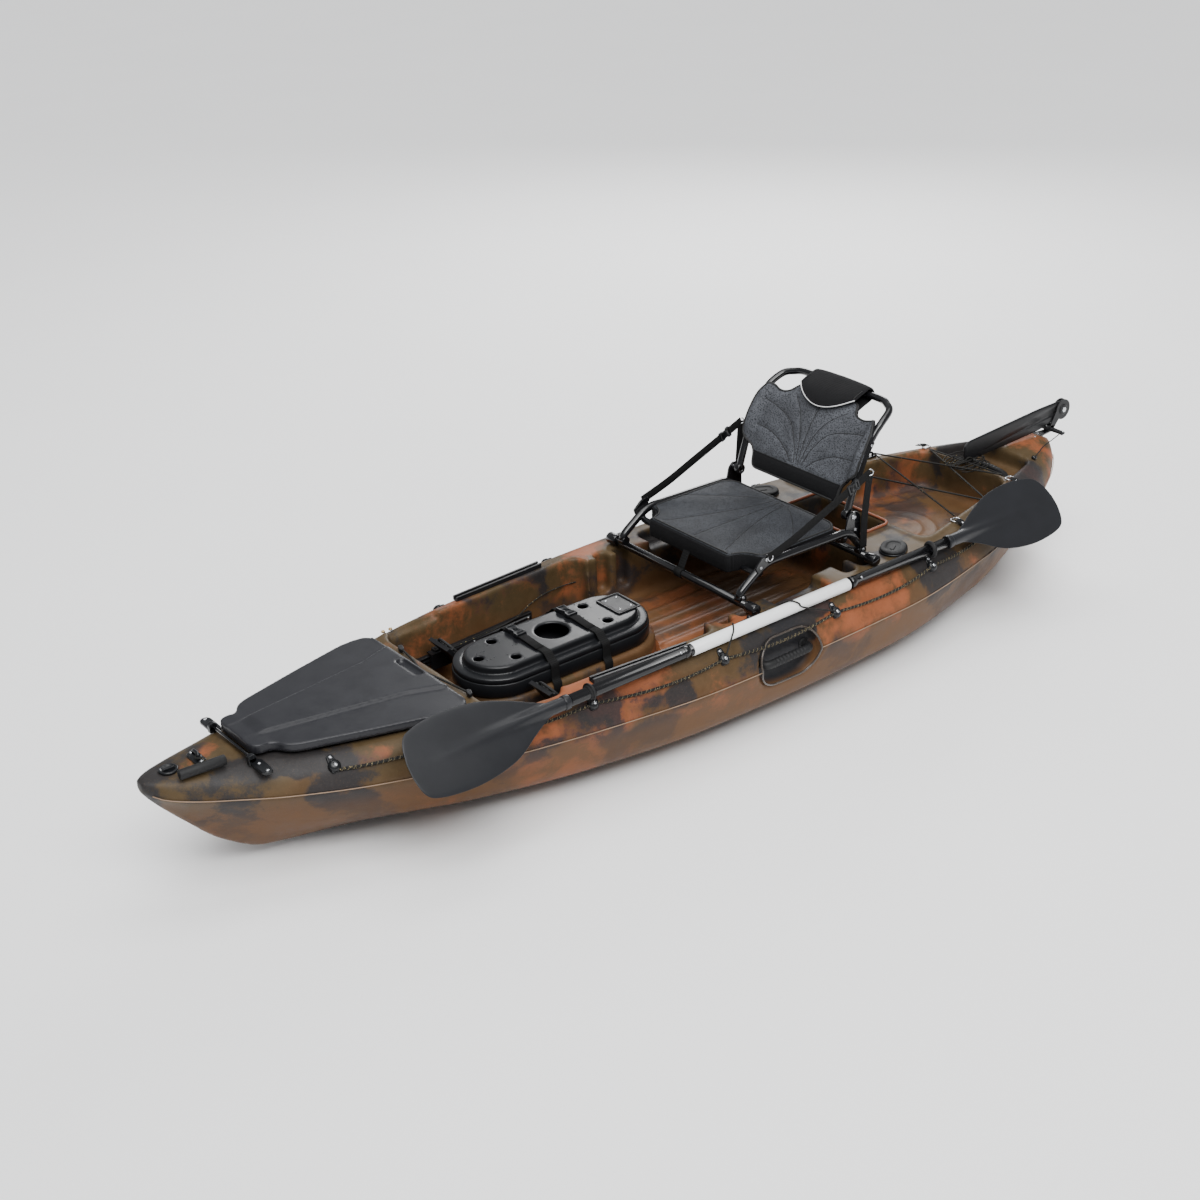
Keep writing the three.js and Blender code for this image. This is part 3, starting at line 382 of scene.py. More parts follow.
class Paint:
    """A node material drawn from the piece's own coordinates in metres."""

    def __init__(self, name, roughness=0.5, metallic=0.0, coat=0.0, sheen=0.0, specular=0.5):
        self.material = bpy.data.materials.new(name)
        self.material.use_nodes = True
        self.nodes = self.material.node_tree.nodes
        self.links = self.material.node_tree.links
        self.shader = self.nodes["Principled BSDF"]
        self.set(self.shader, Roughness=roughness, Metallic=metallic)
        self.shader.inputs["Coat Weight"].default_value = coat
        self.shader.inputs["Coat Roughness"].default_value = 0.12
        self.shader.inputs["Sheen Weight"].default_value = sheen
        self.shader.inputs["Specular IOR Level"].default_value = specular
        self.coords = self.nodes.new("ShaderNodeTexCoord").outputs["Object"]

    def set(self, node, **values):
        for key, value in values.items():
            socket = node.inputs[key.replace("_", " ")]
            if isinstance(value, bpy.types.NodeSocket):
                self.links.new(value, socket)
            else:
                socket.default_value = value
        return node

    def mapped(self, scale=(1, 1, 1), move=(0, 0, 0), turn=(0, 0, 0), source=None):
        node = self.nodes.new("ShaderNodeMapping")
        node.inputs["Scale"].default_value = scale
        node.inputs["Location"].default_value = move
        node.inputs["Rotation"].default_value = turn
        self.links.new(source or self.coords, node.inputs["Vector"])
        return node.outputs[0]

    def noise(self, scale, detail=3.0, rough=0.55, vector=None, distortion=0.0):
        node = self.nodes.new("ShaderNodeTexNoise")
        self.set(node, Scale=scale, Detail=detail, Roughness=rough, Distortion=distortion)
        self.links.new(vector or self.coords, node.inputs["Vector"])
        return node.outputs["Fac"]

    def wave(self, scale, vector=None, axis="X", distortion=0.0, profile="SIN"):
        node = self.nodes.new("ShaderNodeTexWave")
        node.wave_type = "BANDS"
        node.bands_direction = axis
        node.wave_profile = profile
        self.set(node, Scale=scale, Distortion=distortion)
        self.links.new(vector or self.coords, node.inputs["Vector"])
        return node.outputs["Fac"]

    def voronoi(self, scale, vector=None, randomness=1.0, feature="F1"):
        node = self.nodes.new("ShaderNodeTexVoronoi")
        node.feature = feature
        self.set(node, Scale=scale, Randomness=randomness)
        self.links.new(vector or self.coords, node.inputs["Vector"])
        return node.outputs["Distance"]

    def math(self, operation, a, b=0.0, clamp=False):
        node = self.nodes.new("ShaderNodeMath")
        node.operation = operation
        node.use_clamp = clamp
        for k, value in enumerate((a, b)):
            if isinstance(value, bpy.types.NodeSocket):
                self.links.new(value, node.inputs[k])
            else:
                node.inputs[k].default_value = value
        return node.outputs[0]

    def ramp(self, value, low, high, bottom=0.0, top=1.0):
        """Goes smoothly from bottom to top as the value goes from low to high."""
        node = self.nodes.new("ShaderNodeMapRange")
        node.interpolation_type = "SMOOTHSTEP"
        self.links.new(value, node.inputs["Value"])
        for key, number in (("From Min", low), ("From Max", high), ("To Min", bottom), ("To Max", top)):
            node.inputs[key].default_value = number
        return node.outputs["Result"]

    def mix(self, share, a, b):
        node = self.nodes.new("ShaderNodeMix")
        node.data_type = "RGBA"
        for key, value in ((0, share), (6, a), (7, b)):
            if isinstance(value, bpy.types.NodeSocket):
                self.links.new(value, node.inputs[key])
            else:
                node.inputs[key].default_value = value if key == 0 else (*value, 1.0)
        return node.outputs[2]

    def axis(self, name):
        if not hasattr(self, "split"):
            self.split = self.nodes.new("ShaderNodeSeparateXYZ")
            self.links.new(self.coords, self.split.inputs[0])
        return self.split.outputs[name]

    def near(self, centre, reach, fade=0.55, source=None):
        """1 at a point, fading to 0 at the given distances along X, Y and Z."""
        inverse = tuple(1 / r for r in reach)
        at = self.mapped(inverse, tuple(-c / r for c, r in zip(centre, reach)), source=source)
        length = self.nodes.new("ShaderNodeVectorMath")
        length.operation = "LENGTH"
        self.links.new(at, length.inputs[0])
        return self.ramp(length.outputs["Value"], fade, 1.0, 1.0, 0.0)

    def bump(self, height, distance, strength=1.0):
        node = self.nodes.new("ShaderNodeBump")
        node.inputs["Strength"].default_value = strength
        node.inputs["Distance"].default_value = distance
        self.links.new(height, node.inputs["Height"])
        self.links.new(node.outputs[0], self.shader.inputs["Normal"])

    def done(self, colour, roughness=None):
        self.set(self.shader, Base_Color=colour)
        if roughness is not None:
            self.set(self.shader, Roughness=roughness)
        return self.material


def camo():
    """Rotomoulded polyethylene in sprayed orange, olive brown and charcoal, with painted shade in the side
    recesses.
    """
    p = Paint("camo_polyethylene", coat=0.03, specular=0.13)
    p.shader.inputs["Coat Roughness"].default_value = 0.22
    warp = p.nodes.new("ShaderNodeTexNoise")
    p.set(warp, Scale=7.0, Detail=3.0)
    p.links.new(p.coords, warp.inputs["Vector"])
    centred = p.nodes.new("ShaderNodeVectorMath")
    centred.operation = "SUBTRACT"
    centred.inputs[1].default_value = (0.5, 0.5, 0.5)
    p.links.new(warp.outputs["Color"], centred.inputs[0])
    shift = p.nodes.new("ShaderNodeVectorMath")
    shift.operation = "SCALE"
    shift.inputs["Scale"].default_value = 0.16
    p.links.new(centred.outputs[0], shift.inputs[0])
    moved = p.nodes.new("ShaderNodeVectorMath")
    moved.operation = "ADD"
    p.links.new(p.coords, moved.inputs[0])
    p.links.new(shift.outputs[0], moved.inputs[1])
    warped = moved.outputs[0]
    spray = p.noise(95.0, 5.0, 0.72)
    cloud = p.noise(22.0, 4.0, 0.6, warped)
    grit = p.math("MULTIPLY", p.math("SUBTRACT", spray, 0.5), 0.22)
    cloudy = p.math("MULTIPLY", p.math("SUBTRACT", cloud, 0.5), 0.30)
    edge = p.math("ADD", grit, cloudy)

    def blotches(scale, move, low, high, spots):
        field = p.noise(1.0, 2.0, 0.5, p.mapped(scale, move, source=warped))
        field = p.math("ADD", field, edge)
        for centre, reach, weight in spots:
            field = p.math("ADD", field, p.math("MULTIPLY", p.near(centre, reach, 0.25, warped), weight))
        return p.ramp(field, low, high)

    orange = blotches((4.2, 6.0, 6.0), (3.1, 0.7, 1.9), 0.56, 0.74, ORANGE_SPOTS)
    dark = blotches((4.8, 6.5, 6.5), (9.4, 5.2, 0.3), 0.51, 0.64, DARK_SPOTS_AND_RECESS_SHADE)
    olive = p.mix(cloud, (0.038, 0.027, 0.013), (0.086, 0.060, 0.030))
    brown = p.mix(cloud, (0.064, 0.031, 0.013), (0.118, 0.058, 0.026))
    rust = p.mix(cloud, (0.165, 0.046, 0.017), (0.300, 0.096, 0.042))
    black = p.mix(spray, (0.009, 0.010, 0.013), (0.028, 0.028, 0.030))
    low = p.ramp(p.math("ADD", p.axis("Z"), p.math("MULTIPLY", p.noise(5.0, 3.0), 0.22)), 0.27, 0.40, 0.95,
                 0.10)
    colour = p.mix(p.math("MULTIPLY", orange, 0.86), p.mix(low, olive, brown), rust)
    colour = p.mix(p.math("MULTIPLY", dark, 0.90), colour, black)
    below = p.ramp(p.math("ADD", p.axis("Z"), p.math("MULTIPLY", p.noise(9.0, 3.0), 0.05)), 0.16, 0.245,
                   0.50, 0.0)
    colour = p.mix(below, colour, p.mix(cloud, (0.078, 0.038, 0.015), (0.138, 0.068, 0.029)))
    # Painted shade: the hollows of the side recesses are darkened to near black.
    for y in (0.335, -0.335):
        colour = p.mix(p.near((-0.08, y, 0.20), (0.16, 0.050, 0.13), 0.6), colour, black)
    speck = p.ramp(p.noise(420.0, 2.0, 0.6), 0.60, 0.72)
    colour = p.mix(p.math("MULTIPLY", speck, 0.12), colour, (0.26, 0.14, 0.07))
    p.bump(p.math("ADD", p.noise(260.0, 3.0, 0.6), p.math("MULTIPLY", p.noise(30.0, 2.0), 1.6)), 0.0006, 0.35)
    return p.done(colour, p.ramp(cloud, 0.2, 0.8, 0.42, 0.56))


# Where the moulder's blotches lie, as (centre, reach, weight), in metres; the two heavy dark spots at the side
# recesses are painted shade.
ORANGE_SPOTS = [
    ((1.08, 0.20, 0.29), (0.10, 0.10, 0.09), 0.17), ((0.80, 0.33, 0.22), (0.20, 0.12, 0.14), 0.12),
    ((0.36, 0.30, 0.30), (0.30, 0.10, 0.09), 0.19), ((0.30, 0.38, 0.24), (0.30, 0.08, 0.12), 0.17),
    ((0.02, 0.10, 0.14), (0.22, 0.30, 0.10), 0.20), ((-0.15, 0.00, 0.14), (0.40, 0.20, 0.08), 0.14),
    ((-0.42, 0.37, 0.24), (0.24, 0.10, 0.12), 0.17), ((-0.80, 0.30, 0.28), (0.18, 0.12, 0.12), 0.15),
    ((-1.10, 0.22, 0.28), (0.14, 0.10, 0.10), 0.17), ((-1.48, 0.05, 0.30), (0.12, 0.12, 0.08), 0.14),
    ((-0.05, 0.30, 0.30), (0.10, 0.06, 0.06), 0.17), ((0.55, -0.30, 0.30), (0.20, 0.10, 0.10), 0.14),
    ((0.02, -0.34, 0.30), (0.14, 0.08, 0.10), 0.11), ((-0.95, -0.10, 0.19), (0.14, 0.16, 0.06), 0.13),
    ((0.40, 0.00, 0.08), (0.35, 0.30, 0.10), 0.09),
]
DARK_SPOTS_AND_RECESS_SHADE = [
    ((1.22, 0.12, 0.31), (0.12, 0.12, 0.07), 0.34), ((1.20, -0.12, 0.31), (0.12, 0.12, 0.07), 0.30),
    # The two spots of weight 1.10 are painted shade in the side recesses, not blotches.
    ((-0.08, 0.340, 0.22), (0.15, 0.055, 0.09), 1.10), ((-0.20, 0.30, 0.30), (0.14, 0.07, 0.06), 0.26),
    ((-0.08, -0.340, 0.22), (0.15, 0.055, 0.09), 1.10), ((-0.36, -0.32, 0.30), (0.16, 0.08, 0.08), 0.22),
    ((-1.28, 0.14, 0.30), (0.12, 0.10, 0.07), 0.30), ((-1.26, -0.14, 0.30), (0.14, 0.12, 0.08), 0.30),
    ((0.30, 0.39, 0.24), (0.10, 0.05, 0.07), 0.22), ((-0.62, 0.34, 0.30), (0.10, 0.06, 0.06), 0.16),
    ((0.70, 0.10, 0.10), (0.12, 0.20, 0.10), 0.22),
]


def plastic(name, dark, light, roughness=0.38, grain=420.0, depth=0.00025, coat=0.0, scuffs=0.06):
    """Moulded plastic with a fine grain and faint handling marks."""
    p = Paint(name, coat=coat, specular=0.28)
    worn = p.noise(14.0, 5.0, 0.65)
    fine = p.noise(grain, 2.0, 0.5)
    streak = p.noise(1.0, 4.0, 0.7, p.mapped((60.0, 500.0, 60.0)))
    p.bump(p.math("ADD", fine, p.math("MULTIPLY", streak, 0.12)), depth, 0.3)
    return p.done(p.mix(worn, dark, light), p.ramp(worn, 0.25, 0.75, roughness - scuffs, roughness + scuffs))


def woven(name, dark, light, pitch, axes=("X", "Y"), roughness=0.85, depth=0.0006):
    """Cloth whose threads cross along two axes."""
    p = Paint(name, specular=0.2)
    over, under = (p.wave(0.5 / pitch * 0.314, axis=a) for a in axes)
    cross = p.math("MULTIPLY", over, under)
    weave = p.ramp(cross, 0.05, 0.6)
    wear = p.noise(10.0, 4.0, 0.6)
    thread = p.mix(p.math("MULTIPLY", wear, weave), dark, light)
    p.bump(weave, depth, 0.9)
    return p.done(p.mix(p.math("MULTIPLY", p.noise(700.0, 2.0), 0.25), thread, dark), roughness)


def netting(name, dark, light, pitch):
    """Open knitted mesh: pale threads round dark eyes, with cloudy wear."""
    p = Paint(name, specular=0.25)
    eye = p.voronoi(1.0 / pitch, randomness=1.0)
    thread = p.ramp(eye, 0.22, 0.50)
    wear = p.noise(9.0, 4.0, 0.6)
    fibre = p.noise(900.0, 2.0)
    p.bump(p.math("ADD", thread, p.math("MULTIPLY", fibre, 0.3)), 0.0009, 0.8)
    shade = p.math("MULTIPLY", thread, p.ramp(wear, 0.3, 0.7, 0.55, 1.0))
    return p.done(p.mix(shade, dark, light), 0.72)


def metal(name, colour, roughness=0.28, brush=(40.0, 900.0, 900.0)):
    p = Paint(name, metallic=1.0)
    lines = p.noise(1.0, 3.0, 0.6, p.mapped(brush))
    p.bump(lines, 0.0001, 0.3)
    tint = p.mix(lines, tuple(c * 0.82 for c in colour), colour)
    return p.done(tint, p.ramp(lines, 0.3, 0.7, roughness - 0.08, roughness + 0.08))


def rope_paint(name, pale_share):
    """Braided cord: dark sleeve with pale tracer flecks."""
    p = Paint(name, specular=0.25)
    flecks = p.ramp(p.voronoi(190.0, p.mapped((1.0, 1.0, 1.0))), 0.06, 0.30, 1.0, 0.0)
    pick = p.ramp(p.noise(160.0, 1.0), 0.60 - pale_share * 0.2, 0.66 - pale_share * 0.2)
    braid = p.noise(900.0, 2.0)
    base = p.mix(braid, (0.005, 0.005, 0.005), (0.018, 0.017, 0.015))
    p.bump(braid, 0.0004, 0.6)
    return p.done(p.mix(p.math("MULTIPLY", flecks, pick), base, (0.42, 0.33, 0.16)), 0.75)


def tracer():
    """The pale yarn wound into the perimeter line."""
    p = Paint("tracer_yarn", specular=0.2)
    fibre = p.noise(700.0, 3.0, 0.6)
    p.bump(fibre, 0.0004, 0.6)
    return p.done(p.mix(fibre, (0.05, 0.040, 0.024), (0.22, 0.18, 0.11)), 0.8)


CAMO = camo()
BLACK_MOULDED = plastic("black_moulded", (0.005, 0.0055, 0.0065), (0.009, 0.0095, 0.011), 0.32, coat=0.05,
                        scuffs=0.03)
BLACK_SATIN = plastic("black_satin", (0.004, 0.004, 0.005), (0.011, 0.011, 0.012), 0.40)
CHARCOAL = plastic("charcoal_grained", (0.011, 0.011, 0.0135), (0.018, 0.0185, 0.022), 0.40, 900.0, 0.0003,
                   coat=0.06)
PADDLE_GREY = plastic("paddle_grey", (0.009, 0.0095, 0.011), (0.013, 0.0135, 0.016), 0.36, 300.0, 0.00003,
                      coat=0.05, scuffs=0.02)
RUBBER = plastic("black_rubber", (0.005, 0.005, 0.005), (0.012, 0.012, 0.013), 0.62, 700.0, 0.0004)
TUBE_BLACK = plastic("coated_tube", (0.003, 0.003, 0.0035), (0.006, 0.006, 0.007), 0.20, 500.0, 0.00005,
                     coat=0.4, scuffs=0.02)
WHITE = plastic("white_fibreglass", (0.74, 0.75, 0.75), (0.82, 0.83, 0.83), 0.30, 350.0, 0.0002, coat=0.2)
RECESS_RIM = plastic("recess_rim", (0.020, 0.018, 0.018), (0.075, 0.058, 0.045), 0.26, coat=0.3)
POCKET_RIM = plastic("pocket_rim", (0.150, 0.048, 0.024), (0.260, 0.085, 0.042), 0.42)
# Paler than the hull: the real parting line, and amidships a painted highlight along the shoulder's rounded
# edge.
PARTING_LINE_AND_HIGHLIGHT = plastic("parting_line_and_highlight", (0.16, 0.10, 0.06), (0.32, 0.22, 0.15), 0.42)
WEBBING = woven("webbing", (0.003, 0.003, 0.003), (0.014, 0.014, 0.015), 0.0016, ("X", "Z"), depth=0.0004)
CANVAS = woven("black_canvas", (0.003, 0.003, 0.0035), (0.013, 0.013, 0.015), 0.0011, ("Y", "Z"),
               depth=0.0003)
SEAT_MESH = netting("seat_mesh", (0.002, 0.002, 0.003), (0.034, 0.037, 0.043), 0.0034)
BACK_MESH = netting("back_mesh", (0.003, 0.003, 0.004), (0.085, 0.090, 0.102), 0.0034)
PIPING = plastic("piping", (0.008, 0.008, 0.008), (0.020, 0.020, 0.020), 0.6)
WHITE_PIPING = plastic("white_piping", (0.55, 0.55, 0.55), (0.70, 0.70, 0.70), 0.6)
STEEL = metal("steel", (0.62, 0.63, 0.65))
BRASS = metal("brass", (0.72, 0.52, 0.28), 0.3)
ROPE = rope_paint("braided_rope", 1.0)
ELASTIC = rope_paint("elastic_cord", 0.0)
TRACER = tracer()

# ------------------------------------------------------------------ camera, light and floor


def camera():
    """The photograph's three-quarter view from ahead on the port side."""
    yaw, pitch, roll = -2.2316, -0.4712, -0.0298
    ahead = Vector((math.cos(yaw) * math.cos(pitch), math.sin(yaw) * math.cos(pitch), math.sin(pitch)))
    side = Vector((math.sin(yaw), -math.cos(yaw), 0.0))
    top = side.cross(ahead)
    right = side * math.cos(roll) + top * math.sin(roll)
    up = right.cross(ahead)
    data = bpy.data.cameras.new("camera")
    data.sensor_width = 36.0
    data.lens = 55.8291
    data.clip_end = 60
    ob = bpy.data.objects.new("camera", data)
    bpy.context.scene.collection.objects.link(ob)
    ob.matrix_world = Matrix.Translation((2.8471, 3.3700, 2.5013)) @ Matrix(
        ((right.x, up.x, -ahead.x), (right.y, up.y, -ahead.y), (right.z, up.z, -ahead.z))).to_4x4()
    bpy.context.scene.camera = ob


def light(name, place_at, aim, size, power):
    data = bpy.data.lights.new(name, "AREA")
    data.shape = "RECTANGLE"
    data.size, data.size_y = size
    data.energy = power
    ob = bpy.data.objects.new(name, data)
    bpy.context.scene.collection.objects.link(ob)
    ob.location = place_at
    ob.rotation_euler = (Vector(aim) - Vector(place_at)).to_track_quat("-Z", "Y").to_euler()


def studio():
    reach, level = 30000, -2
    corners = [(x * reach, y * reach, level) for x, y in ((-1, -1), (1, -1), (1, 1), (-1, 1))]
    floor = new_object("studio_floor", corners, [(0, 1, 2, 3)])
    p = Paint("studio_floor", roughness=0.9)
    painted(floor, p.done(p.mix(p.noise(1.5, 2.0), (0.90, 0.90, 0.90), (0.93, 0.93, 0.93)), 0.9))
    world = bpy.data.worlds.new("studio")
    bpy.context.scene.world = world
    world.use_nodes = True
    world.node_tree.nodes["Background"].inputs["Color"].default_value = (0.95, 0.97, 1.0, 1.0)
    world.node_tree.nodes["Background"].inputs["Strength"].default_value = 0.42
    light("key", (1.2, 3.6, 4.2), (0.0, 0.0, 0.2), (3.0, 1.8), 150)
    light("overhead", (-0.4, -0.4, 4.6), (-0.2, 0.0, 0.2), (4.2, 2.0), 90)
    light("rim", (-3.6, -3.4, 2.6), (-0.2, 0.0, 0.3), (2.4, 1.4), 120)
    dome = bpy.data.lights.new("dome", "SUN")
    dome.energy, dome.angle = 3.3, math.radians(50)
    ob = bpy.data.objects.new("dome", dome)
    bpy.context.scene.collection.objects.link(ob)
    ob.rotation_euler = (math.radians(-24), math.radians(16), 0)


# ------------------------------------------------------------------ hull form

# x, half beam, keel height, half width of the flat, chine half width, chine height, seam height, sheer height
STATIONS = [
    (-1525, 34, 258, 8, 22, 270, 284, 304), (-1488, 78, 194, 14, 50, 226, 262, 306),
    (-1442, 112, 70, 14, 74, 158, 248, 308), (-1405, 134, 26, 12, 92, 128, 242, 309),
    (-1200, 233, 18, 20, 182, 96, 226, 306), (-900, 330, 12, 60, 284, 76, 212, 302),
    (-500, 392, 4, 110, 350, 64, 204, 300), (-150, 398, 0, 130, 358, 60, 202, 299),
    (150, 392, 0, 130, 350, 60, 202, 299), (450, 362, 0, 110, 316, 64, 206, 300),
    (750, 313, 5, 78, 258, 76, 214, 302), (1050, 237, 16, 36, 172, 104, 228, 307),
    (1250, 166, 36, 18, 98, 136, 244, 312), (1350, 122, 92, 14, 62, 172, 256, 315),
    (1440, 82, 184, 12, 40, 226, 270, 318), (1500, 46, 254, 8, 24, 268, 284, 320),
    (1525, 18, 288, 4, 9, 294, 300, 321),
]
SHOULDER, CROWN = 66, 6
FULL_BEAM = 150
SHOULDER_BREAK, UPPER_SHARE = 0.56, 0.36


def form_at(x):
    """Beam, keel, flat, chine, chine height, seam and sheer on a curve that never overshoots a station."""
    last = len(STATIONS) - 1
    x = min(max(x, STATIONS[0][0]), STATIONS[last][0])
    i = next((k - 1 for k, row in enumerate(STATIONS) if row[0] > x), last - 1)
    low, high = STATIONS[i], STATIONS[i + 1]
    span = high[0] - low[0]
    t = (x - low[0]) / span
    out = []
    for column in range(1, 8):
        straight = (high[column] - low[column]) / span

        def slope(k):
            if k in (0, last):
                return straight
            a, b, c = STATIONS[k - 1], STATIONS[k], STATIONS[k + 1]
            left, right = (b[column] - a[column]) / (b[0] - a[0]), (c[column] - b[column]) / (c[0] - b[0])
            return 0.0 if left * right <= 0 else 2 * left * right / (left + right)

        out.append(low[column] * (2 * t ** 3 - 3 * t ** 2 + 1) + slope(i) * span * (t ** 3 - 2 * t ** 2 + t)
                   + high[column] * (3 * t ** 2 - 2 * t ** 3) + slope(i + 1) * span * (t ** 3 - t ** 2))
    return out


def half_section(x):
    beam, keel, flat, chine, chine_height, seam, sheer = form_at(x)
    taper = min(1.0, beam / FULL_BEAM)
    shoulder, rise = SHOULDER * taper, sheer - seam
    return [(0, keel), (max(1, flat), keel), (max(2, chine), chine_height), (max(3, beam), seam),
            (max(2.5, beam - shoulder * 0.32), seam + rise * SHOULDER_BREAK),
            (max(2, beam - shoulder * 0.76), sheer - rise * 0.08), (max(1.5, beam - shoulder), sheer),
            (0, sheer + CROWN * taper)]


def deck_height(x, y):
    beam, sheer = form_at(x)[0], form_at(x)[6]
    taper = min(1.0, beam / FULL_BEAM)
    return sheer + CROWN * taper * max(0.0, 1 - abs(y) / (beam - SHOULDER * taper))


def shoulder_point(x, share, off, side):
    """A point on the sloping shoulder, at a share of the way up from the seam, standing off by a distance."""
    seam, middle, top = half_section(x)[3:6]
    if share < SHOULDER_BREAK:
        a, b, t = seam, middle, share / SHOULDER_BREAK
    else:
        a, b, t = middle, top, (share - SHOULDER_BREAK) / UPPER_SHARE
    dy, dz = b[0] - a[0], b[1] - a[1]
    length = math.hypot(dy, dz)
    return Vector((x, side * (a[0] + dy * t + dz / length * off), a[1] + dz * t - dy / length * off))


def shoulder_normal(x, share, side):
    here, out = shoulder_point(x, share, 0, side), shoulder_point(x, share, 1, side)
    return (out - here).normalized()


def hull_ring(x):
    half = half_section(x)
    softness = (0, 40, 46, 5, 16, 14, 10, 0)
    ring = [half[0]]
    for k in range(1, len(half) - 1):
        corner = half[k]
        ends = []
        for q in (half[k - 1], half[k + 1]):
            length = max(math.dist(q, corner), 1e-6)
            reach = min(softness[k], length * 0.45) / length
            ends.append((corner[0] + (q[0] - corner[0]) * reach, corner[1] + (q[1] - corner[1]) * reach))
        for t in (0, 0.25, 0.5, 0.75, 1):
            ring.append(tuple(ends[0][c] * (1 - t) ** 2 + corner[c] * 2 * t * (1 - t) + ends[1][c] * t * t
                              for c in (0, 1)))
    ring.append(half[-1])
    return [(x, y, z) for y, z in ring] + [(x, -y, z) for y, z in ring[-2:0:-1]]


def pit(name, outline, floor, top=430, draft=0.02, fillet=14):
    """A tool for a well: sides that lean out a little, and a rounded floor edge."""
    depth = 300 - floor
    levels = [(floor, -fillet - depth * draft), (floor + fillet * 0.13, -fillet * 0.5 - depth * draft),
              (floor + fillet * 0.5, -fillet * 0.13 - depth * draft), (floor + fillet, -depth * draft),
              (300, 0), (top, 0)]
    return loft(name, [[(x, y, z) for x, y in offset(outline, grow)] for z, grow in levels])


def trapezium(front, back, half_front, half_back):
    return [(front, half_front), (front, -half_front), (back, -half_back), (back, half_back)]


FOOTWELL = trapezium(735, 85, 246, 284)
SEAT_WELL = trapezium(90, -535, 244, 200)
POCKET = trapezium(-560, -690, 135, 135)
TANK_WELL = trapezium(-705, -1172, 268, 157)
STERN_SHELF = trapezium(-1192, -1335, 150, 104)
FOOTWELL_FLOOR, SEAT_FLOOR, POCKET_FLOOR, TANK_FLOOR, SHELF_FLOOR = 98, 150, 170, 190, 260
SCUPPERS = [(480, -156), (480, 156), (112, -156), (112, 156), (-754, -155), (-754, 155)]
RECESS_X, RECESS_Z, RECESS_LONG, RECESS_HIGH = -80, 206, 206, 128
ROD_X, ROD_Y, ROD_RAKE, ROD_LEAN = -588, 258, 24, 4
POD_X = 385
PLUG_X, PAD_X = 1453, 1383


def drain_floor(x):
    return FOOTWELL_FLOOR if x > 0 else TANK_FLOOR


def lip(name, outline, width, low, high):
    """A raised rim round a well."""
    return prism(name, rounded(offset(outline, width), 34), low, high)


def hatch_outline(grow):
    half = [(1286, 84), (1234, 84), (1212, 124), (1040, 176), (860, 226), (787, 222)]
    return rounded(offset(mirrored(half), grow), 38, 8)


def rod_axis(side):
    """The way up a rod holder's bore, and the middle of its mouth."""
    rake, lean = math.radians(ROD_RAKE), math.radians(ROD_LEAN)
    way = Vector((-math.sin(rake), math.sin(lean) * side, math.cos(rake))).normalized()
    return way, Vector((ROD_X, side * ROD_Y, deck_height(ROD_X, ROD_Y)))


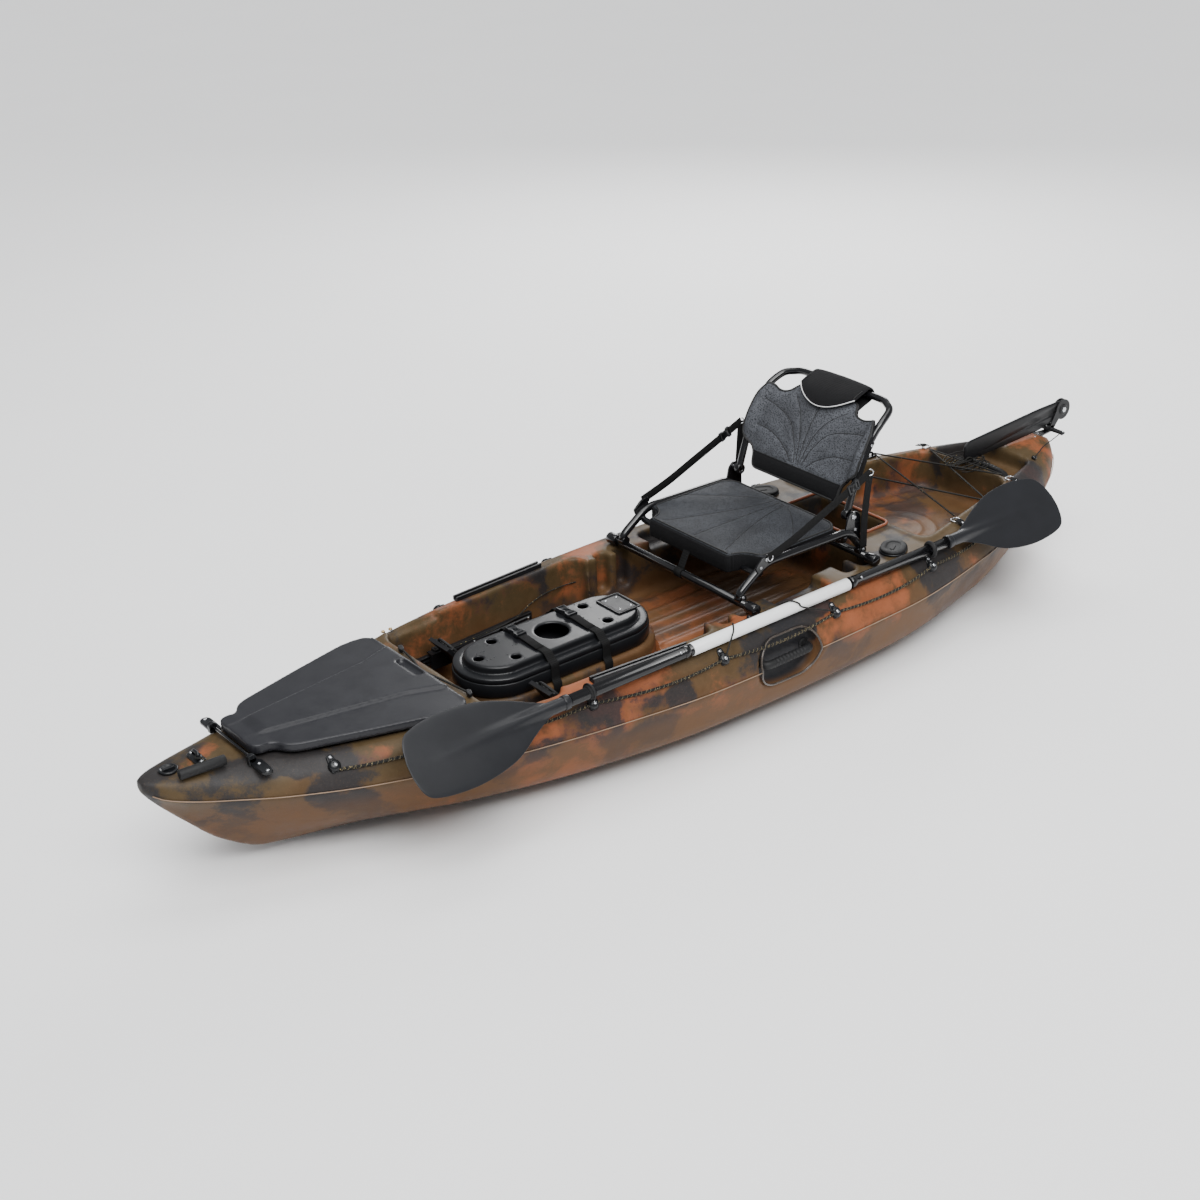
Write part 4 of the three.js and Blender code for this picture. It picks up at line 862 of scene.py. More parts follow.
def hull():
    places = sorted(set(list(np.linspace(-1525, -1395, 14)) + list(np.linspace(-1395, 1340, 96))
                        + list(np.linspace(1340, 1525, 20))))
    ob = loft("hull_visual", [hull_ring(float(x)) for x in places])
    for k, (outline, width, high) in enumerate(((TANK_WELL, 15, 308), (POCKET, 13, 310),
                                                (FOOTWELL, 13, 305))):
        boolean(ob, lip(f"lip{k}", outline, width, 270, high), "UNION")
    stern = trapezium(-1345, -1500, 66, 30)
    stern_block = loft("stern_block", [[(x, y, z) for x, y in rounded(offset(stern, grow), 14)]
                                       for z, grow in ((290, 6), (312, 4), (318, -6))])
    boolean(ob, stern_block, "UNION")
    boolean(ob, pit("footwell", rounded(FOOTWELL, 46), FOOTWELL_FLOOR, fillet=22))
    boolean(ob, pit("seat_well", rounded(SEAT_WELL, 34), SEAT_FLOOR, fillet=18))
    for x, y0, y1, z0, long in ((24, 232, 269, 188, 40), (-40, 230, 269, 188, 40), (-418, 196, 266, 206, 42),
                                (-480, 192, 266, 206, 38)):
        for side in (1, -1):
            ys = sorted((side * y0, side * y1))
            back, front = x - long / 2, x + long / 2
            notch = [(back, ys[0]), (front, ys[0]), (front, ys[1]), (back, ys[1])]
            boolean(ob, slab("notch", rounded(notch, 8), z0, 420, 8))
    for side in (1, -1):
        ys = sorted((side * 200, side * 294))
        shelf = [(-316, ys[0]), (-133, ys[0]), (-133, ys[1]), (-316, ys[1])]
        boolean(ob, slab("shelf", rounded(shelf, 24), 270, 420, 8))
        ledge = [(560, side * 236), (716, side * 226), (716, side * 262), (560, side * 274)]
        boolean(ob, slab("ledge", rounded(ledge, 12), 284, 420, 5))
    boolean(ob, pit("pocket", rounded(POCKET, 24), POCKET_FLOOR, fillet=12))
    boolean(ob, pit("tank_well", rounded(TANK_WELL, 44), TANK_FLOOR, fillet=20))
    boolean(ob, pit("stern_shelf", rounded(STERN_SHELF, 28), SHELF_FLOOR, fillet=10))
    for side in (1, -1):
        scoop = loft("scoop", [[(x, side * y, z) for x, z in stadium(RECESS_X, RECESS_Z, RECESS_LONG + grow,
                                                                     RECESS_HIGH + grow)]
                               for y, grow in ((352, -22), (356, -8), (364, 0), (386, 8), (410, 26),
                                               (450, 40))])
        boolean(ob, scoop)
        way, mouth = rod_axis(side)
        boolean(ob, tube("rod_bore", [mouth - way * 126, mouth + way * 60], 23.6, 24))
    for x, y in SCUPPERS:
        drain = [(0, -400), (19, -400), (19, -6), (29, -3), (34, 3), (34, 8), (0, 8)]
        boolean(ob, lathe("drain", drain, (x, y, drain_floor(x))))
    pedestal = loft("pedestal", [[(x, y, z) for x, y in stadium(372, 0, 580 + grow, 252 + grow, 20)]
                                 for z, grow in ((80, 14), (104, 6), (216, 0), (221, -3), (224, -9))])
    boolean(ob, pedestal, "UNION")
    boolean(ob, lathe("pod_recess", [(0, -72), (40, -72), (49.5, -66), (49.5, 60), (0, 60)], (POD_X, 0, 224)))
    for y in (-168, -112, -56, 0, 56, 112, 168):
        rib = slab("rib", stadium(-215, y, 560 if abs(y) < 150 else 500, 26), 140, 160, 6, segments=3)
        boolean(ob, rib, "UNION")
    for side in (1, -1):
        rib = slab("foot_rib", turned_about(stadium(0, 0, 430, 20), 380, side * 196, -2.4 * side), 90, 105, 5)
        boolean(ob, rib, "UNION")
    for radius in (117, 75):
        inner, outer = radius - 5, radius + 5
        bead = [(inner, -10), (outer, -10), (outer, 1), (radius, 5), (inner, 1), (inner, -10)]
        boolean(ob, lathe("ring", bead, (-876, 0, TANK_FLOOR), segments=64), "UNION")
    for y0, y1 in ((150, 96), (206, 132), (-150, -96), (-206, -132)):
        line = sweep("floor_line", [(-728, y0, TANK_FLOOR), (-1150, y1, TANK_FLOOR)], circle(0, 0, 5.5, 8))
        boolean(ob, line, "UNION")
    keel = [(-1424, 60), (-1424, 30), (-1404, 24), (-1150, 15), (-1000, 13), (-1000, 30)]
    fin = loft("keel_fin", [[(x, y, z) for x, z in keel] for y in (-8, 8)])
    boolean(ob, fin, "UNION")
    recess = prism("hatch_rebate", hatch_outline(-24), 284, 330)
    boolean(ob, recess)
    opening = [(1190, 84), (1190, -84), (840, -186), (806, -186), (806, 186), (840, 186)]
    boolean(ob, pit("hatch_opening", rounded(opening, 24), 110, fillet=30))
    boolean(ob, lathe("bow_recess", [(0, -7), (23, -7), (26, 4), (0, 4)],
                      (PLUG_X, 0, deck_height(PLUG_X, 0))))
    remeshed(ob, 6.6, 7)
    return place(ob, HULL, CAMO, ("hull",))


def parting_lines():
    for name, side in SIDES:
        lines = []
        # The pale seam strip stands for the parting line and, amidships, for a painted highlight on the
        # shoulder's edge.
        for back, front in ((-1500, -184), (24, 1512)):
            route = [(x, side * (form_at(x)[0] + 0.2), form_at(x)[5]) for x in np.linspace(back, front, 90)]
            lines.append(sweep("line", route, [(-0.9, -1.0), (0.9, -1.0), (0.9, 1.0), (-0.9, 1.0)],
                               up=(0, 0, 1)))
        place(merged(f"parting_line_and_highlight_{name}", lines), HULL, PARTING_LINE_AND_HIGHLIGHT)
        rim = []
        loop = [(x, z, 0) for x, z in stadium(RECESS_X, RECESS_Z, RECESS_LONG, RECESS_HIGH, 16)]
        for point in spaced(loop + loop[:1], 120):
            x, z = point.x, point.y
            half = half_section(x)[2:7]
            y = float(np.interp(z, [p[1] for p in half], [p[0] for p in half]))
            rim.append((x, side * (y + 0.2), z))
        place(tube(f"side_recess_rim_{name}", rim, 3.0, 12), HULL, RECESS_RIM)


def pocket_rim():
    route = rounded(offset(POCKET, 7), 28)
    rim = tube("rear_pocket_rim", [(x, y, 311) for x, y in route + route[:1]], 4.2, 16)
    place(rim, HULL, POCKET_RIM)


camera()
studio()
hull()
pocket_rim()
parting_lines()

# ------------------------------------------------------------------ shared fittings


def carry(node, material, width=0.8, segments=2):
    """A CAD piece that keeps its shape, with softened edges and its own finish."""
    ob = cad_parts[node]
    painted(ob, material)
    modifier = ob.modifiers.new("edges", "BEVEL")
    modifier.width = width * MM
    modifier.segments = segments
    modifier.limit_method = "ANGLE"
    modifier.angle_limit = math.radians(35)
    return ob


def oriented(ob, centre, along=(1, 0, 0), up=(0, 0, 1)):
    """Moves a piece made at the origin, so that its X and Z axes point along and up."""
    x = Vector(along).normalized()
    y = Vector(up).cross(x).normalized()
    z = x.cross(y)
    turn = Matrix(((x.x, y.x, z.x), (x.y, y.y, z.y), (x.z, y.z, z.z))).to_4x4()
    ob.data.transform(Matrix.Translation(Vector(centre) * MM) @ turn)
    return ob


def screw_mesh():
    head = lathe("screw", [(0, -1), (1, -1), (1, 0.1), (0.92, 0.35), (0.6, 0.58), (0, 0.66)], segments=24)
    for turn in (0, 90):
        slot = [(-0.62, -0.12), (0.62, -0.12), (0.62, 0.12), (-0.62, 0.12)]
        boolean(head, prism("slot", turned_about(slot, 0, 0, turn), 0.32, 2))
    return head


SCREW = screw_mesh()


def screws(name, places, body=HULL, material=None):
    """Cross-head screws as one piece, from (point, direction, head radius)."""
    heads = []
    for point, aim, radius in places:
        head = bpy.data.objects.new("head", SCREW.data.copy())
        bpy.context.scene.collection.objects.link(head)
        turn = Vector((0, 0, 1)).rotation_difference(Vector(aim).normalized()).to_matrix().to_4x4()
        head.data.transform(Matrix.Translation(Vector(point) * MM) @ turn @ Matrix.Scale(radius, 4))
        heads.append(head)
    ob = merged(name, heads)
    for polygon in ob.data.polygons:
        polygon.use_smooth = False
    return place(ob, body, material or STEEL)


def buckle(name, centre, along, up, width=30, length=52, height=9):
    """A side-release buckle: a waisted shell with two prongs and the webbing's bar."""
    w, l = width / 2, length / 2
    half = [(-l, w * 0.86), (-l * 0.3, w * 0.86), (-l * 0.1, w * 0.66), (l * 0.25, w * 0.66), (l * 0.42, w),
            (l, w)]
    outline = [(u, -v) for u, v in half] + half[::-1]
    shell = slab(name, rounded(outline, 3, 3), -height / 2, height / 2, 1.6)
    for x in (-l + 7, l - 7):
        boolean(shell, block("slot", x - 2.2, x + 2.2, -w * 0.6, w * 0.6, -height, height, 0.2))
    boolean(shell, block("window", -l * 0.12, l * 0.2, -w * 0.36, w * 0.36, height * 0.18, height, 0.4))
    return oriented(shell, centre, along, up)


# ------------------------------------------------------------------ fore hatch and bow

HATCH_BACK, HATCH_FRONT = 787, 1286
HATCH_SLOPE = (deck_height(HATCH_FRONT, 0) - deck_height(HATCH_BACK, 0)) / (HATCH_FRONT - HATCH_BACK)
HATCH_BASE = deck_height(HATCH_BACK, 0) + 1
HINGE_X, HINGE_Z = 1294, 329


def lid_height(x, y):
    """Top of the hatch lid: a raised centre panel with creased edges, and flanks that fall away."""
    panel = float(np.interp(x, (797, 886, 1225, 1262), (128, 95, 41, 34)))
    edge = float(np.interp(x, (787, 860, 1040, 1212, 1234, 1286), (222, 224, 176, 122, 86, 84)))
    ends = float(np.interp(x, (785, 797, 1222, 1248), (0.0, 1.0, 1.0, 0.35)))
    if abs(y) <= panel:
        return 24 + ends * (7.0 + 1.2 * (1 - (y / panel) ** 2))
    t = min(1.0, (abs(y) - panel) / max(edge - panel, 1))
    crease = min(1.0, (abs(y) - panel) / 8)
    return 24 + ends * (7.0 - 7.0 * crease * (2 - crease) - 3.6 * t ** 1.6)


def fore_hatch():
    body = prism("bow_hatch_lid_visual", hatch_outline(0), 0, 40)
    ys = np.linspace(-240, 240, 121)
    terrain = loft("terrain", [[(x, y, lid_height(x, y)) for y in ys] + [(x, 240, -20), (x, -240, -20)]
                               for x in np.linspace(778, 1296, 131)])
    boolean(body, terrain, "INTERSECT")
    boolean(body, loft("hand_recess", [[(811 + v, u, z) for u, v in stadium(0, 0, 96 + grow, 24 + grow)]
                                       for z, grow in ((22, -8), (24, 0), (31, 1), (34, 8))]))
    boolean(body, prism("underside", hatch_outline(-30), -1, 11))
    for x in (870, 950, 1030, 1110, 1180):
        half = float(np.interp(x, (787, 1180), (170, 84)))
        boolean(body, block("rib", x - 4, x + 4, -half, half, 5, 14, 1.5), "UNION")
    remeshed(body, 3.8, 3)
    for v in body.data.vertices:
        v.co.z += HATCH_SLOPE * (v.co.x - HATCH_BACK * MM) + (HATCH_BASE + 4.4) * MM
    place(body, "bow_hatch", CHARCOAL, ("bow_hatch_lid",))

    carry("bow_hatch_gasket", RUBBER, 0.8)
    profile = [(0, 0), (3.4, 0), (4, 0.8), (4, 191.2), (3.4, 192), (0, 192)]
    rod = lathe("hatch_hinge_rod_visual", profile, (HINGE_X, -96, HINGE_Z), (0, 1, 0), 24)
    place(rod, "bow_hatch", TUBE_BLACK, ("hatch_hinge_rod",))
    pad_x = 1285
    base = deck_height(pad_x, 100) + 1
    for name, side in SIDES:
        outline = [(pad_x + v, side * 120 + u) for u, v in stadium(0, 0, 71, 28)]
        pad = slab(f"hatch_hinge_{name}_visual", outline, base - 3, base + 5, 2.2, segments=3)
        inner, outer = sorted((side * 86, side * 98))
        ear = slab("ear", stadium(HINGE_X, HINGE_Z, 20, 20), inner, outer, 1.2, "y")
        web = block("web", HINGE_X - 9.5, HINGE_X + 9.5, inner, outer, base, HINGE_Z, 0.8)
        knuckle = merged("knuckle", [ear, web])
        stand_in(f"hatch_hinge_{name}", [pad, knuckle], HULL, BLACK_MOULDED)
    heads = [((pad_x, side * y, base + 4.6), (0, 0, 1), 4.6) for side in (1, -1) for y in (108, 146)]
    screws("hatch_hinge_screws", heads)

    z = deck_height(760, 0) + 5
    route = spline([(746, -140, z), (760, -70, z + 4), (776, 0, z + 9), (760, 75, z + 4), (746, 150, z)], 60)
    cord = tube("hatch_latch_cord_visual", route, 3, 14)
    ends = [slab("hook", turned_about(stadium(0, 0, 26, 13), 746, y, 70), z - 5, z + 5, 2)
            for y in (-142, 152)]
    hooks = place(merged("hatch_latch_hooks", ends), HULL, BLACK_SATIN)
    place(cord, HULL, ELASTIC, ("hatch_latch_cord",))


def bow_fittings():
    deck = deck_height(PLUG_X, 0)
    profile = [(0, -5), (22.4, -5), (22.4, 1), (20.8, 2.8), (17.5, 2.8), (15.5, -1.5), (0, -1.5)]
    plug = lathe("plug", profile, (PLUG_X, 0, deck), segments=48)
    grip = slab("grip", stadium(PLUG_X, 0, 30, 7), deck - 2, deck + 4.5, 1.4)
    stand_in("bow_drain_plug", [plug, grip], HULL, BLACK_MOULDED)

    deck = deck_height(PAD_X, 0)
    base = slab("pad", [(PAD_X + v, u) for u, v in stadium(0, 0, 62, 29)], deck - 1.5, deck + 5, 2,
                segments=3)
    hump = loft("hump", [[(PAD_X + v, u, z) for u, v in stadium(0, 0, 34 + grow, 22 + grow)]
                         for z, grow in ((deck + 4, 4), (deck + 7, 0), (deck + 9, -5))])
    arch = [(PAD_X, y, deck + rise) for y, rise in ((-13, 5), (-13, 18), (13, 18), (13, 5))]
    loop = tube("loop", bent(arch, 10), 4.2, 16)
    stand_in("bow_padeye", [base, hump, loop], HULL, BLACK_MOULDED)
    screws("bow_padeye_screws", [((PAD_X, y, deck + 4.6), (0, 0, 1), 4.8) for y in (-23.5, 23.5)])

    level = deck_height(1400, 40) + 16
    a, b = Vector((1345, 66, level)), Vector((1454, 58, level))
    long = (b - a).length
    profile = [(7, 0), (11.2, 0), (12, 1.2), (12, long - 1.2), (11.2, long), (7, long), (7, 0)]
    grip = lathe("bow_toggle_visual", profile, a, b - a, 36)
    place(grip, "bow_toggle", RUBBER, ("bow_toggle",))
    route = spline([(1388, 56, level + 11), (1387, 42, level + 8), (1388, 26, level + 1),
                    (1390, 12, level - 4), (1386, 2, level - 5)], 40)
    cord = tube("bow_toggle_cord_visual", route, 2.5, 12)
    place(cord, "bow_toggle", ROPE, ("bow_toggle_cord",))


EYELETS = (1138, 896, 512, 128, -256, -640, -1024)
EYELET_PITCH, EYELET_SHARE = 384, 0.66


def line_share(x):
    """How far up the shoulder the line runs: full height at its eyelets, with a sag between them."""
    return EYELET_SHARE - 0.1 * abs(math.sin((x - 128) / EYELET_PITCH * math.pi))


def perimeter_lines():
    twist = [(r * math.cos(a), r * math.sin(a)) for a in np.linspace(0, 2 * math.pi, 15, endpoint=False)
             for r in (3.5 + 0.8 * math.cos(3 * a),)]
    dome = [(0, -4), (14.6, -4), (14.6, 3.6), (13.8, 8.6), (10.2, 12.2), (5, 13.4), (0, 13.4)]
    domes, heads = [], []
    for name, side in SIDES:
        xs = np.linspace(1140, -1060, 800)
        route = [shoulder_point(x, line_share(x), 5, side) for x in xs]
        line = sweep(f"perimeter_line_{name}_visual", route, twist, twist=19.0)
        place(line, HULL, ROPE, (f"perimeter_line_{name}",))
        wound = []
        for i in range(2401):
            x, turn = 1138 - 2190 * i / 2400, i * 2 * math.pi / 14
            centre = shoulder_point(x, line_share(x), 5, side)
            out = shoulder_normal(x, 0.6, side)
            across = Vector((1, 0, 0)).cross(out).normalized()
            wound.append(centre + (out * math.cos(turn) + across * math.sin(turn)) * 3.8)
        tracer = place(tube(f"perimeter_tracer_{name}", wound, 0.65, 5), HULL, TRACER)
        for x in EYELETS:
            foot, out = shoulder_point(x, EYELET_SHARE, 0, side), shoulder_normal(x, EYELET_SHARE, side)
            rise = (shoulder_point(x, 0.9, 0, side) - foot).normalized()
            plate = slab("plate", rounded([(-15, -13), (30, -8), (30, 8), (-15, 13)], 9), -4, 3.4, 1.6,
                         segments=3)
            domes.append(oriented(plate, foot, rise, out))
            domes.append(lathe("dome", dome, foot, out, 32))
            heads.append((foot + rise * 22 + out * 3.1, out, 4.2))
            heads.append((foot + out * 13.0, out, 4.6))
    place(merged("line_eyelets", domes), HULL, BLACK_MOULDED)
    screws("eyelet_screws", heads)


def deck_inserts():
    brass, y = [], 268
    profile = [(2.4, -3), (5.2, -3), (5.2, 0.7), (4.4, 1.2), (2.8, 1.2), (2.4, 0.4), (2.4, -3)]
    for side in (1, -1):
        for x in (697, 719):
            brass.append(lathe("insert", profile, (x, side * y, deck_height(x, y) + 0.4), segments=24))
    place(merged("deck_inserts", brass), HULL, BRASS)


# ------------------------------------------------------------------ console pod, drains, rails and tracks


def console():
    lid_top, well_radius = 295, 43.5

    def outline(inset):
        return stadium(POD_X, 0, 572 - 2 * inset, 230 - 2 * inset, 28)

    tray = loft("console_pod_visual", [[(x, y, z) for x, y in outline(i)]
                                       for z, i in ((225, 6), (227, 2), (230, 0), (260.5, 0), (262, 1.2))])
    boolean(tray, prism("cavity", outline(5), 229, 300))
    boolean(tray, prism("well", circle(POD_X, 0, well_radius, 48), 100, 400))
    place(tray, HULL, BLACK_MOULDED, ("console_pod",))

    steps = [(262.4, 3.4), (264, 2), (273, 2), (276, 4.5), (277, 12), (277.4, 24), (274.6, 26.5), (276.0, 29),
             (286, 30), (291.5, 31), (294, 33), (lid_top, 37)]
    rim = loft("console_lid_visual", [[(x, y, z) for x, y in outline(i)] for z, i in steps])
    boolean(rim, prism("under", outline(38), 250, 288))
    well = [(0, -60), (well_radius, -60), (well_radius, -3), (45.5, -0.8), (50, 0.4), (50, 30), (0, 30)]
    boolean(rim, lathe("well", well, (POD_X, 0, lid_top), segments=64))
    socket = [(0, -13), (12, -13), (12.5, -1.5), (14, 0.3), (14, 9), (0, 9)]
    small = [(612, 0), (536, 52), (536, -52), (245, 52), (245, -52)]
    for x, y in small:
        boolean(rim, lathe("socket", socket, (x, y, lid_top), segments=32))
    remeshed(rim, 2.3, 2)
    pins = []
    for x, y in small[1:]:
        pins += [(x + 23 * math.cos(a), y + 23 * math.sin(a)) for a in np.linspace(0.5, 6.78, 5)[:-1]]
    pins += [(580 + 11 * i, y) for i in range(3) for y in (-22, 22)] + [(472 + 9 * i, 0) for i in range(5)]
    pins += [(282, y) for y in (-16, 0, 16)]
    dot = [(0.5, 0), (2.0, 0), (2.0, 0.4), (1.7, 0.7), (1.0, 0.6), (0.5, 0.2), (0.5, 0)]
    dots = [lathe("dot", dot, (x, y, 294.8), segments=12) for x, y in pins]
    stand_in("console_lid", [rim] + dots, HULL, BLACK_MOULDED)

    plate = slab("console_plate_visual", rounded([(206, 50), (206, -50), (131, -50), (131, 50)], 8), 295.2,
                 299, 1.0)
    boolean(plate, slab("dish", rounded([(198, 43), (198, -43), (139, -43), (139, 43)], 5), 297.0, 303, 0.8))
    place(plate, HULL, BLACK_SATIN, ("console_plate",))
    screws("console_plate_screws", [((x, y, 296.9), (0, 0, 1), 3.6) for x in (150, 186) for y in (-30, 30)])

    for name, x in (("front", 466), ("rear", 303)):
        half = [(128, 188), (128, 226), (118.5, 234), (118.5, 275), (106, 280.5), (90, 297.4)]
        route = bent([(x, -y, z) for y, z in half] + [(x, y, z) for y, z in reversed(half)], 7, 4)
        band = strap("band", route, 25, 2.2, (1, 0, 0))
        catch = buckle("catch", (x, -45, 302.6), (0, 1, 0), (0, 0, 1), 32, 56, 9.5)
        loose = [(x + 1, -18, 301.5), (x + 1, -4, 302.6), (x + 2, 30, 300.4), (x + 3, 62, 299.6)]
        tail = strap("tail", bent(loose, 12), 24, 1.6, (1, 0, 0))
        both = merged(f"console_strap_{name}_visual",
                      [painted(band, WEBBING), painted(tail, WEBBING), painted(catch, BLACK_MOULDED)])
        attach(both, HULL)
        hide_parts(f"console_strap_{name}")


def scupper_plugs():
    profile = [(0, -34), (12, -34), (13.5, -32), (17, -4), (17, 0.8), (24, 0.8), (25, 1.8), (25, 3.4),
               (23, 4.8), (20, 5.2), (18.5, 7), (0, 7)]
    for i, (x, y) in enumerate(SCUPPERS, 1):
        floor = drain_floor(x)
        plug = lathe("plug", profile, (x, y, floor), segments=36)
        pull = slab("pull", stadium(x, y, 24, 5), floor + 6, floor + 13, 1.4)
        stand_in(f"scupper_plug_{i}", [plug, pull], HULL, RUBBER)


RAIL_BACK, RAIL_FRONT = 262, 663


def rail_y(x):
    """Half the distance between the rails, which close in towards the bow."""
    wide, narrow = 262, 233
    return wide + (x - RAIL_BACK) * (narrow - wide) / (RAIL_FRONT - RAIL_BACK)


def rails_and_pedals():
    heads = []
    for name, side, pedal_x in (("port", 1, 523), ("starboard", -1, 582)):
        def along(x, y):
            return (x, side * (rail_y(x) + y))

        corners = [along(RAIL_FRONT, -7), along(RAIL_FRONT, 7), along(RAIL_BACK, 7), along(RAIL_BACK, -7)]
        rail = slab("rail", corners, 178, 206, 2)
        for z in (184, 196):
            channel = [along(655, -12), along(655, -4.5), along(270, -4.5), along(270, -12)]
            boolean(rail, prism("channel", channel, z, z + 5))
        teeth = []
        for x in np.arange(280, 650, 13.5):
            u, v = along(x, -6.4)
            teeth.append(block("tooth", u - 3, u + 3, v - 1.6, v + 1.6, 189.6, 195.4, 0.5, 1))
        for x in (276, 462, 649):
            u, v = along(x, 9)
            teeth.append(block("spacer", u - 12, u + 12, v - 8, v + 8, 182, 202, 2))
            heads.append((Vector((*along(x, -6.9), 192)), (0, -side, 0), 4.2))
        stand_in(f"foot_rail_{name}", [rail] + teeth, HULL, BLACK_SATIN)

        carry(f"foot_pedal_{name}", BLACK_SATIN, 2.2, 3)
        y = rail_y(pedal_x)
        grips = []
        for t in np.linspace(0.1, 0.92, 8):
            gx, gz = pedal_x - 44 + 68 * t, 178 + 88 * t
            inner, outer = sorted((side * (y - 104), side * (y - 28)))
            grips.append(slab("grip", stadium(gx, gz, 7, 5), inner, outer, 1.2, "y"))
        middle, top = side * (y - 66), []
        for v, t in ((-104, 0.62), (-98, 0.86), (-82, 1.0), (-66, 1.05), (-50, 1.0), (-34, 0.86),
                     (-28, 0.62)):
            top.append(Vector((pedal_x - 48 + 68 * t, side * (y + v), 181 + 88 * t)))
        grips.append(tube("arch", spline(top, 40), 3.6, 14))
        grips += [tube("spoke", [(pedal_x - 34, middle, 199), (p.x, p.y, p.z)], 2.0, 10) for p in top]
        clip = buckle("clip", (pedal_x - 6, side * (y - 8), 219), (1, 0, 0), (0, 0, 1), 20, 44, 7)
        place(merged(f"pedal_grips_{name}", grips + [clip]), f"pedal_{name}", RUBBER)

        line = spline([(pedal_x - 30, side * (y - 20), 212), (430, side * (rail_y(430) - 20), 210),
                       (330, side * (rail_y(330) - 17), 214), (262, side * 262, 226), (200, side * 268, 238),
                       (110, side * 272, 236), (40, side * 262, 228)], 70)
        cord = painted(tube(f"pedal_line_{name}", line, 1.6, 10), ROPE)
        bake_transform(cord)

        carry(f"gear_track_{name}", BLACK_SATIN, 0.7)
        for x in (212, 338, 465):
            centre = np.interp(x, (194, 483), (306, 287))
            heads.append(((x, side * centre, 305.2), (0, 0, 1), 3.6))
    screws("rail_screws", heads)


fore_hatch()
bow_fittings()
perimeter_lines()
deck_inserts()
console()
scupper_plugs()
rails_and_pedals()

# ------------------------------------------------------------------ seat


def ring(name, centre, aim, radius, thickness, segments=32):
    section = [(radius + thickness * math.cos(a), thickness * math.sin(a))
               for a in np.linspace(0, 2 * math.pi, 13)]
    section[-1] = section[0]
    return lathe(name, section, centre, aim, segments)


def band_round(name, centre, aim, radius, width, thickness=1.8):
    """A loop of webbing round a tube."""
    w = width / 2
    section = [(radius, -w), (radius + thickness, -w), (radius + thickness, w), (radius, w), (radius, -w)]
    return lathe(name, section, centre, aim, 28)


FRONT_BAR, REAR_BAR, BAR_Z, LEG_Y = -45, -481, 317, 236
PIVOT_X, PIVOT_Z = -450, 434
BACK_LINE = spline([(PIVOT_X, 0, PIVOT_Z), (-478, 0, 520), (-518, 0, 606), (-574, 0, 668), (-640, 0, 696)],
                   90)
BACK_RUN = np.concatenate([[0], np.cumsum([(b - a).length for a, b in zip(BACK_LINE, BACK_LINE[1:])])])


def back_point(s, y=0.0, off=0.0):
    """A point of the seat back, at a distance up its curve, across it, and standing off its front."""
    x = float(np.interp(s, BACK_RUN, [p.x for p in BACK_LINE]))
    z = float(np.interp(s, BACK_RUN, [p.z for p in BACK_LINE]))
    ahead, behind = min(s + 6, BACK_RUN[-1]), max(min(s, BACK_RUN[-1]) - 6, 0)
    dx, dz = (float(np.interp(ahead, BACK_RUN, line) - np.interp(behind, BACK_RUN, line))
              for line in ([p.x for p in BACK_LINE], [p.z for p in BACK_LINE]))
    length = math.hypot(dx, dz)
    return Vector((x + dz / length * off, y, z - dx / length * off))


def back_run(z):
    return float(np.interp(z, [p.z for p in BACK_LINE], BACK_RUN))


def bend_onto_back(ob):
    """Takes a piece made flat, as (run up the back, across, off the front), to its place."""
    for v in ob.data.vertices:
        v.co = back_point(v.co.x / MM, v.co.y / MM, v.co.z / MM) * MM
    ob.data.flip_normals()
    return ob


def seam_tree(sewn):
    """The points of the sewn routes, for looking up how far off the nearest seam is."""
    tree = KDTree(sum(len(route) for route in sewn))
    for i, point in enumerate(point for route in sewn for point in route):
        tree.insert((point[0] * MM, point[1] * MM, 0), i)
    tree.balance()
    return tree


def puffed(ob, sewn, pressure, cap, voxel=5.0):
    """Stuffing by cloth simulation. sewn are the routes, in plan, that hold both faces together."""
    remeshed(ob, voxel, 2)
    rest = [v.co.copy() for v in ob.data.vertices]
    tree = seam_tree(sewn)
    group = ob.vertex_groups.new(name="sewn")
    near = [tree.find((co.x, co.y, 0))[2] / MM for co in rest]
    group.add([i for i, d in enumerate(near) if d < 4.2], 1.0, "REPLACE")
    moved = rest
    cloth = ob.modifiers.new("stuffing", "CLOTH")
    cloth.settings.use_pressure = True
    cloth.settings.uniform_pressure_force = pressure
    cloth.settings.effector_weights.gravity = 0
    cloth.settings.vertex_group_mass = "sewn"
    cloth.point_cache.frame_start, cloth.point_cache.frame_end = 1, 20
    for number in range(1, 21):
        bpy.context.scene.frame_set(number)
    evaluated = ob.evaluated_get(bpy.context.evaluated_depsgraph_get())
    moved = [v.co.copy() for v in evaluated.data.vertices]
    ob.modifiers.remove(cloth)
    bpy.context.scene.frame_set(1)
    for v, a, b, d in zip(ob.data.vertices, rest, moved, near):
        step = b - a
        limit = cap * MM * min(1.0, d / 22)
        v.co = a + (step.normalized() * min(step.length, limit) if step.length > 1e-9 else step)
    return ob


def channelled(ob, sewn, middle, depth, reach=11):
    """Presses both faces in along the sewn routes."""
    tree = seam_tree(sewn)
    for v in ob.data.vertices:
        d = tree.find((v.co.x, v.co.y, 0))[2] / MM
        if d < reach:
            share = 0.5 + 0.5 * math.cos(math.pi * d / reach)
            off = v.co.z - middle * MM
            v.co.z -= math.copysign(min(depth * share * MM, abs(off) * 0.6), off)
    return ob


def subdivided(ob):
    modifier = ob.modifiers.new("finer", "SUBSURF")
    modifier.levels = 1
    modifier.render_levels = 1
    applied(ob)
    ob.data.shade_smooth()
    return ob


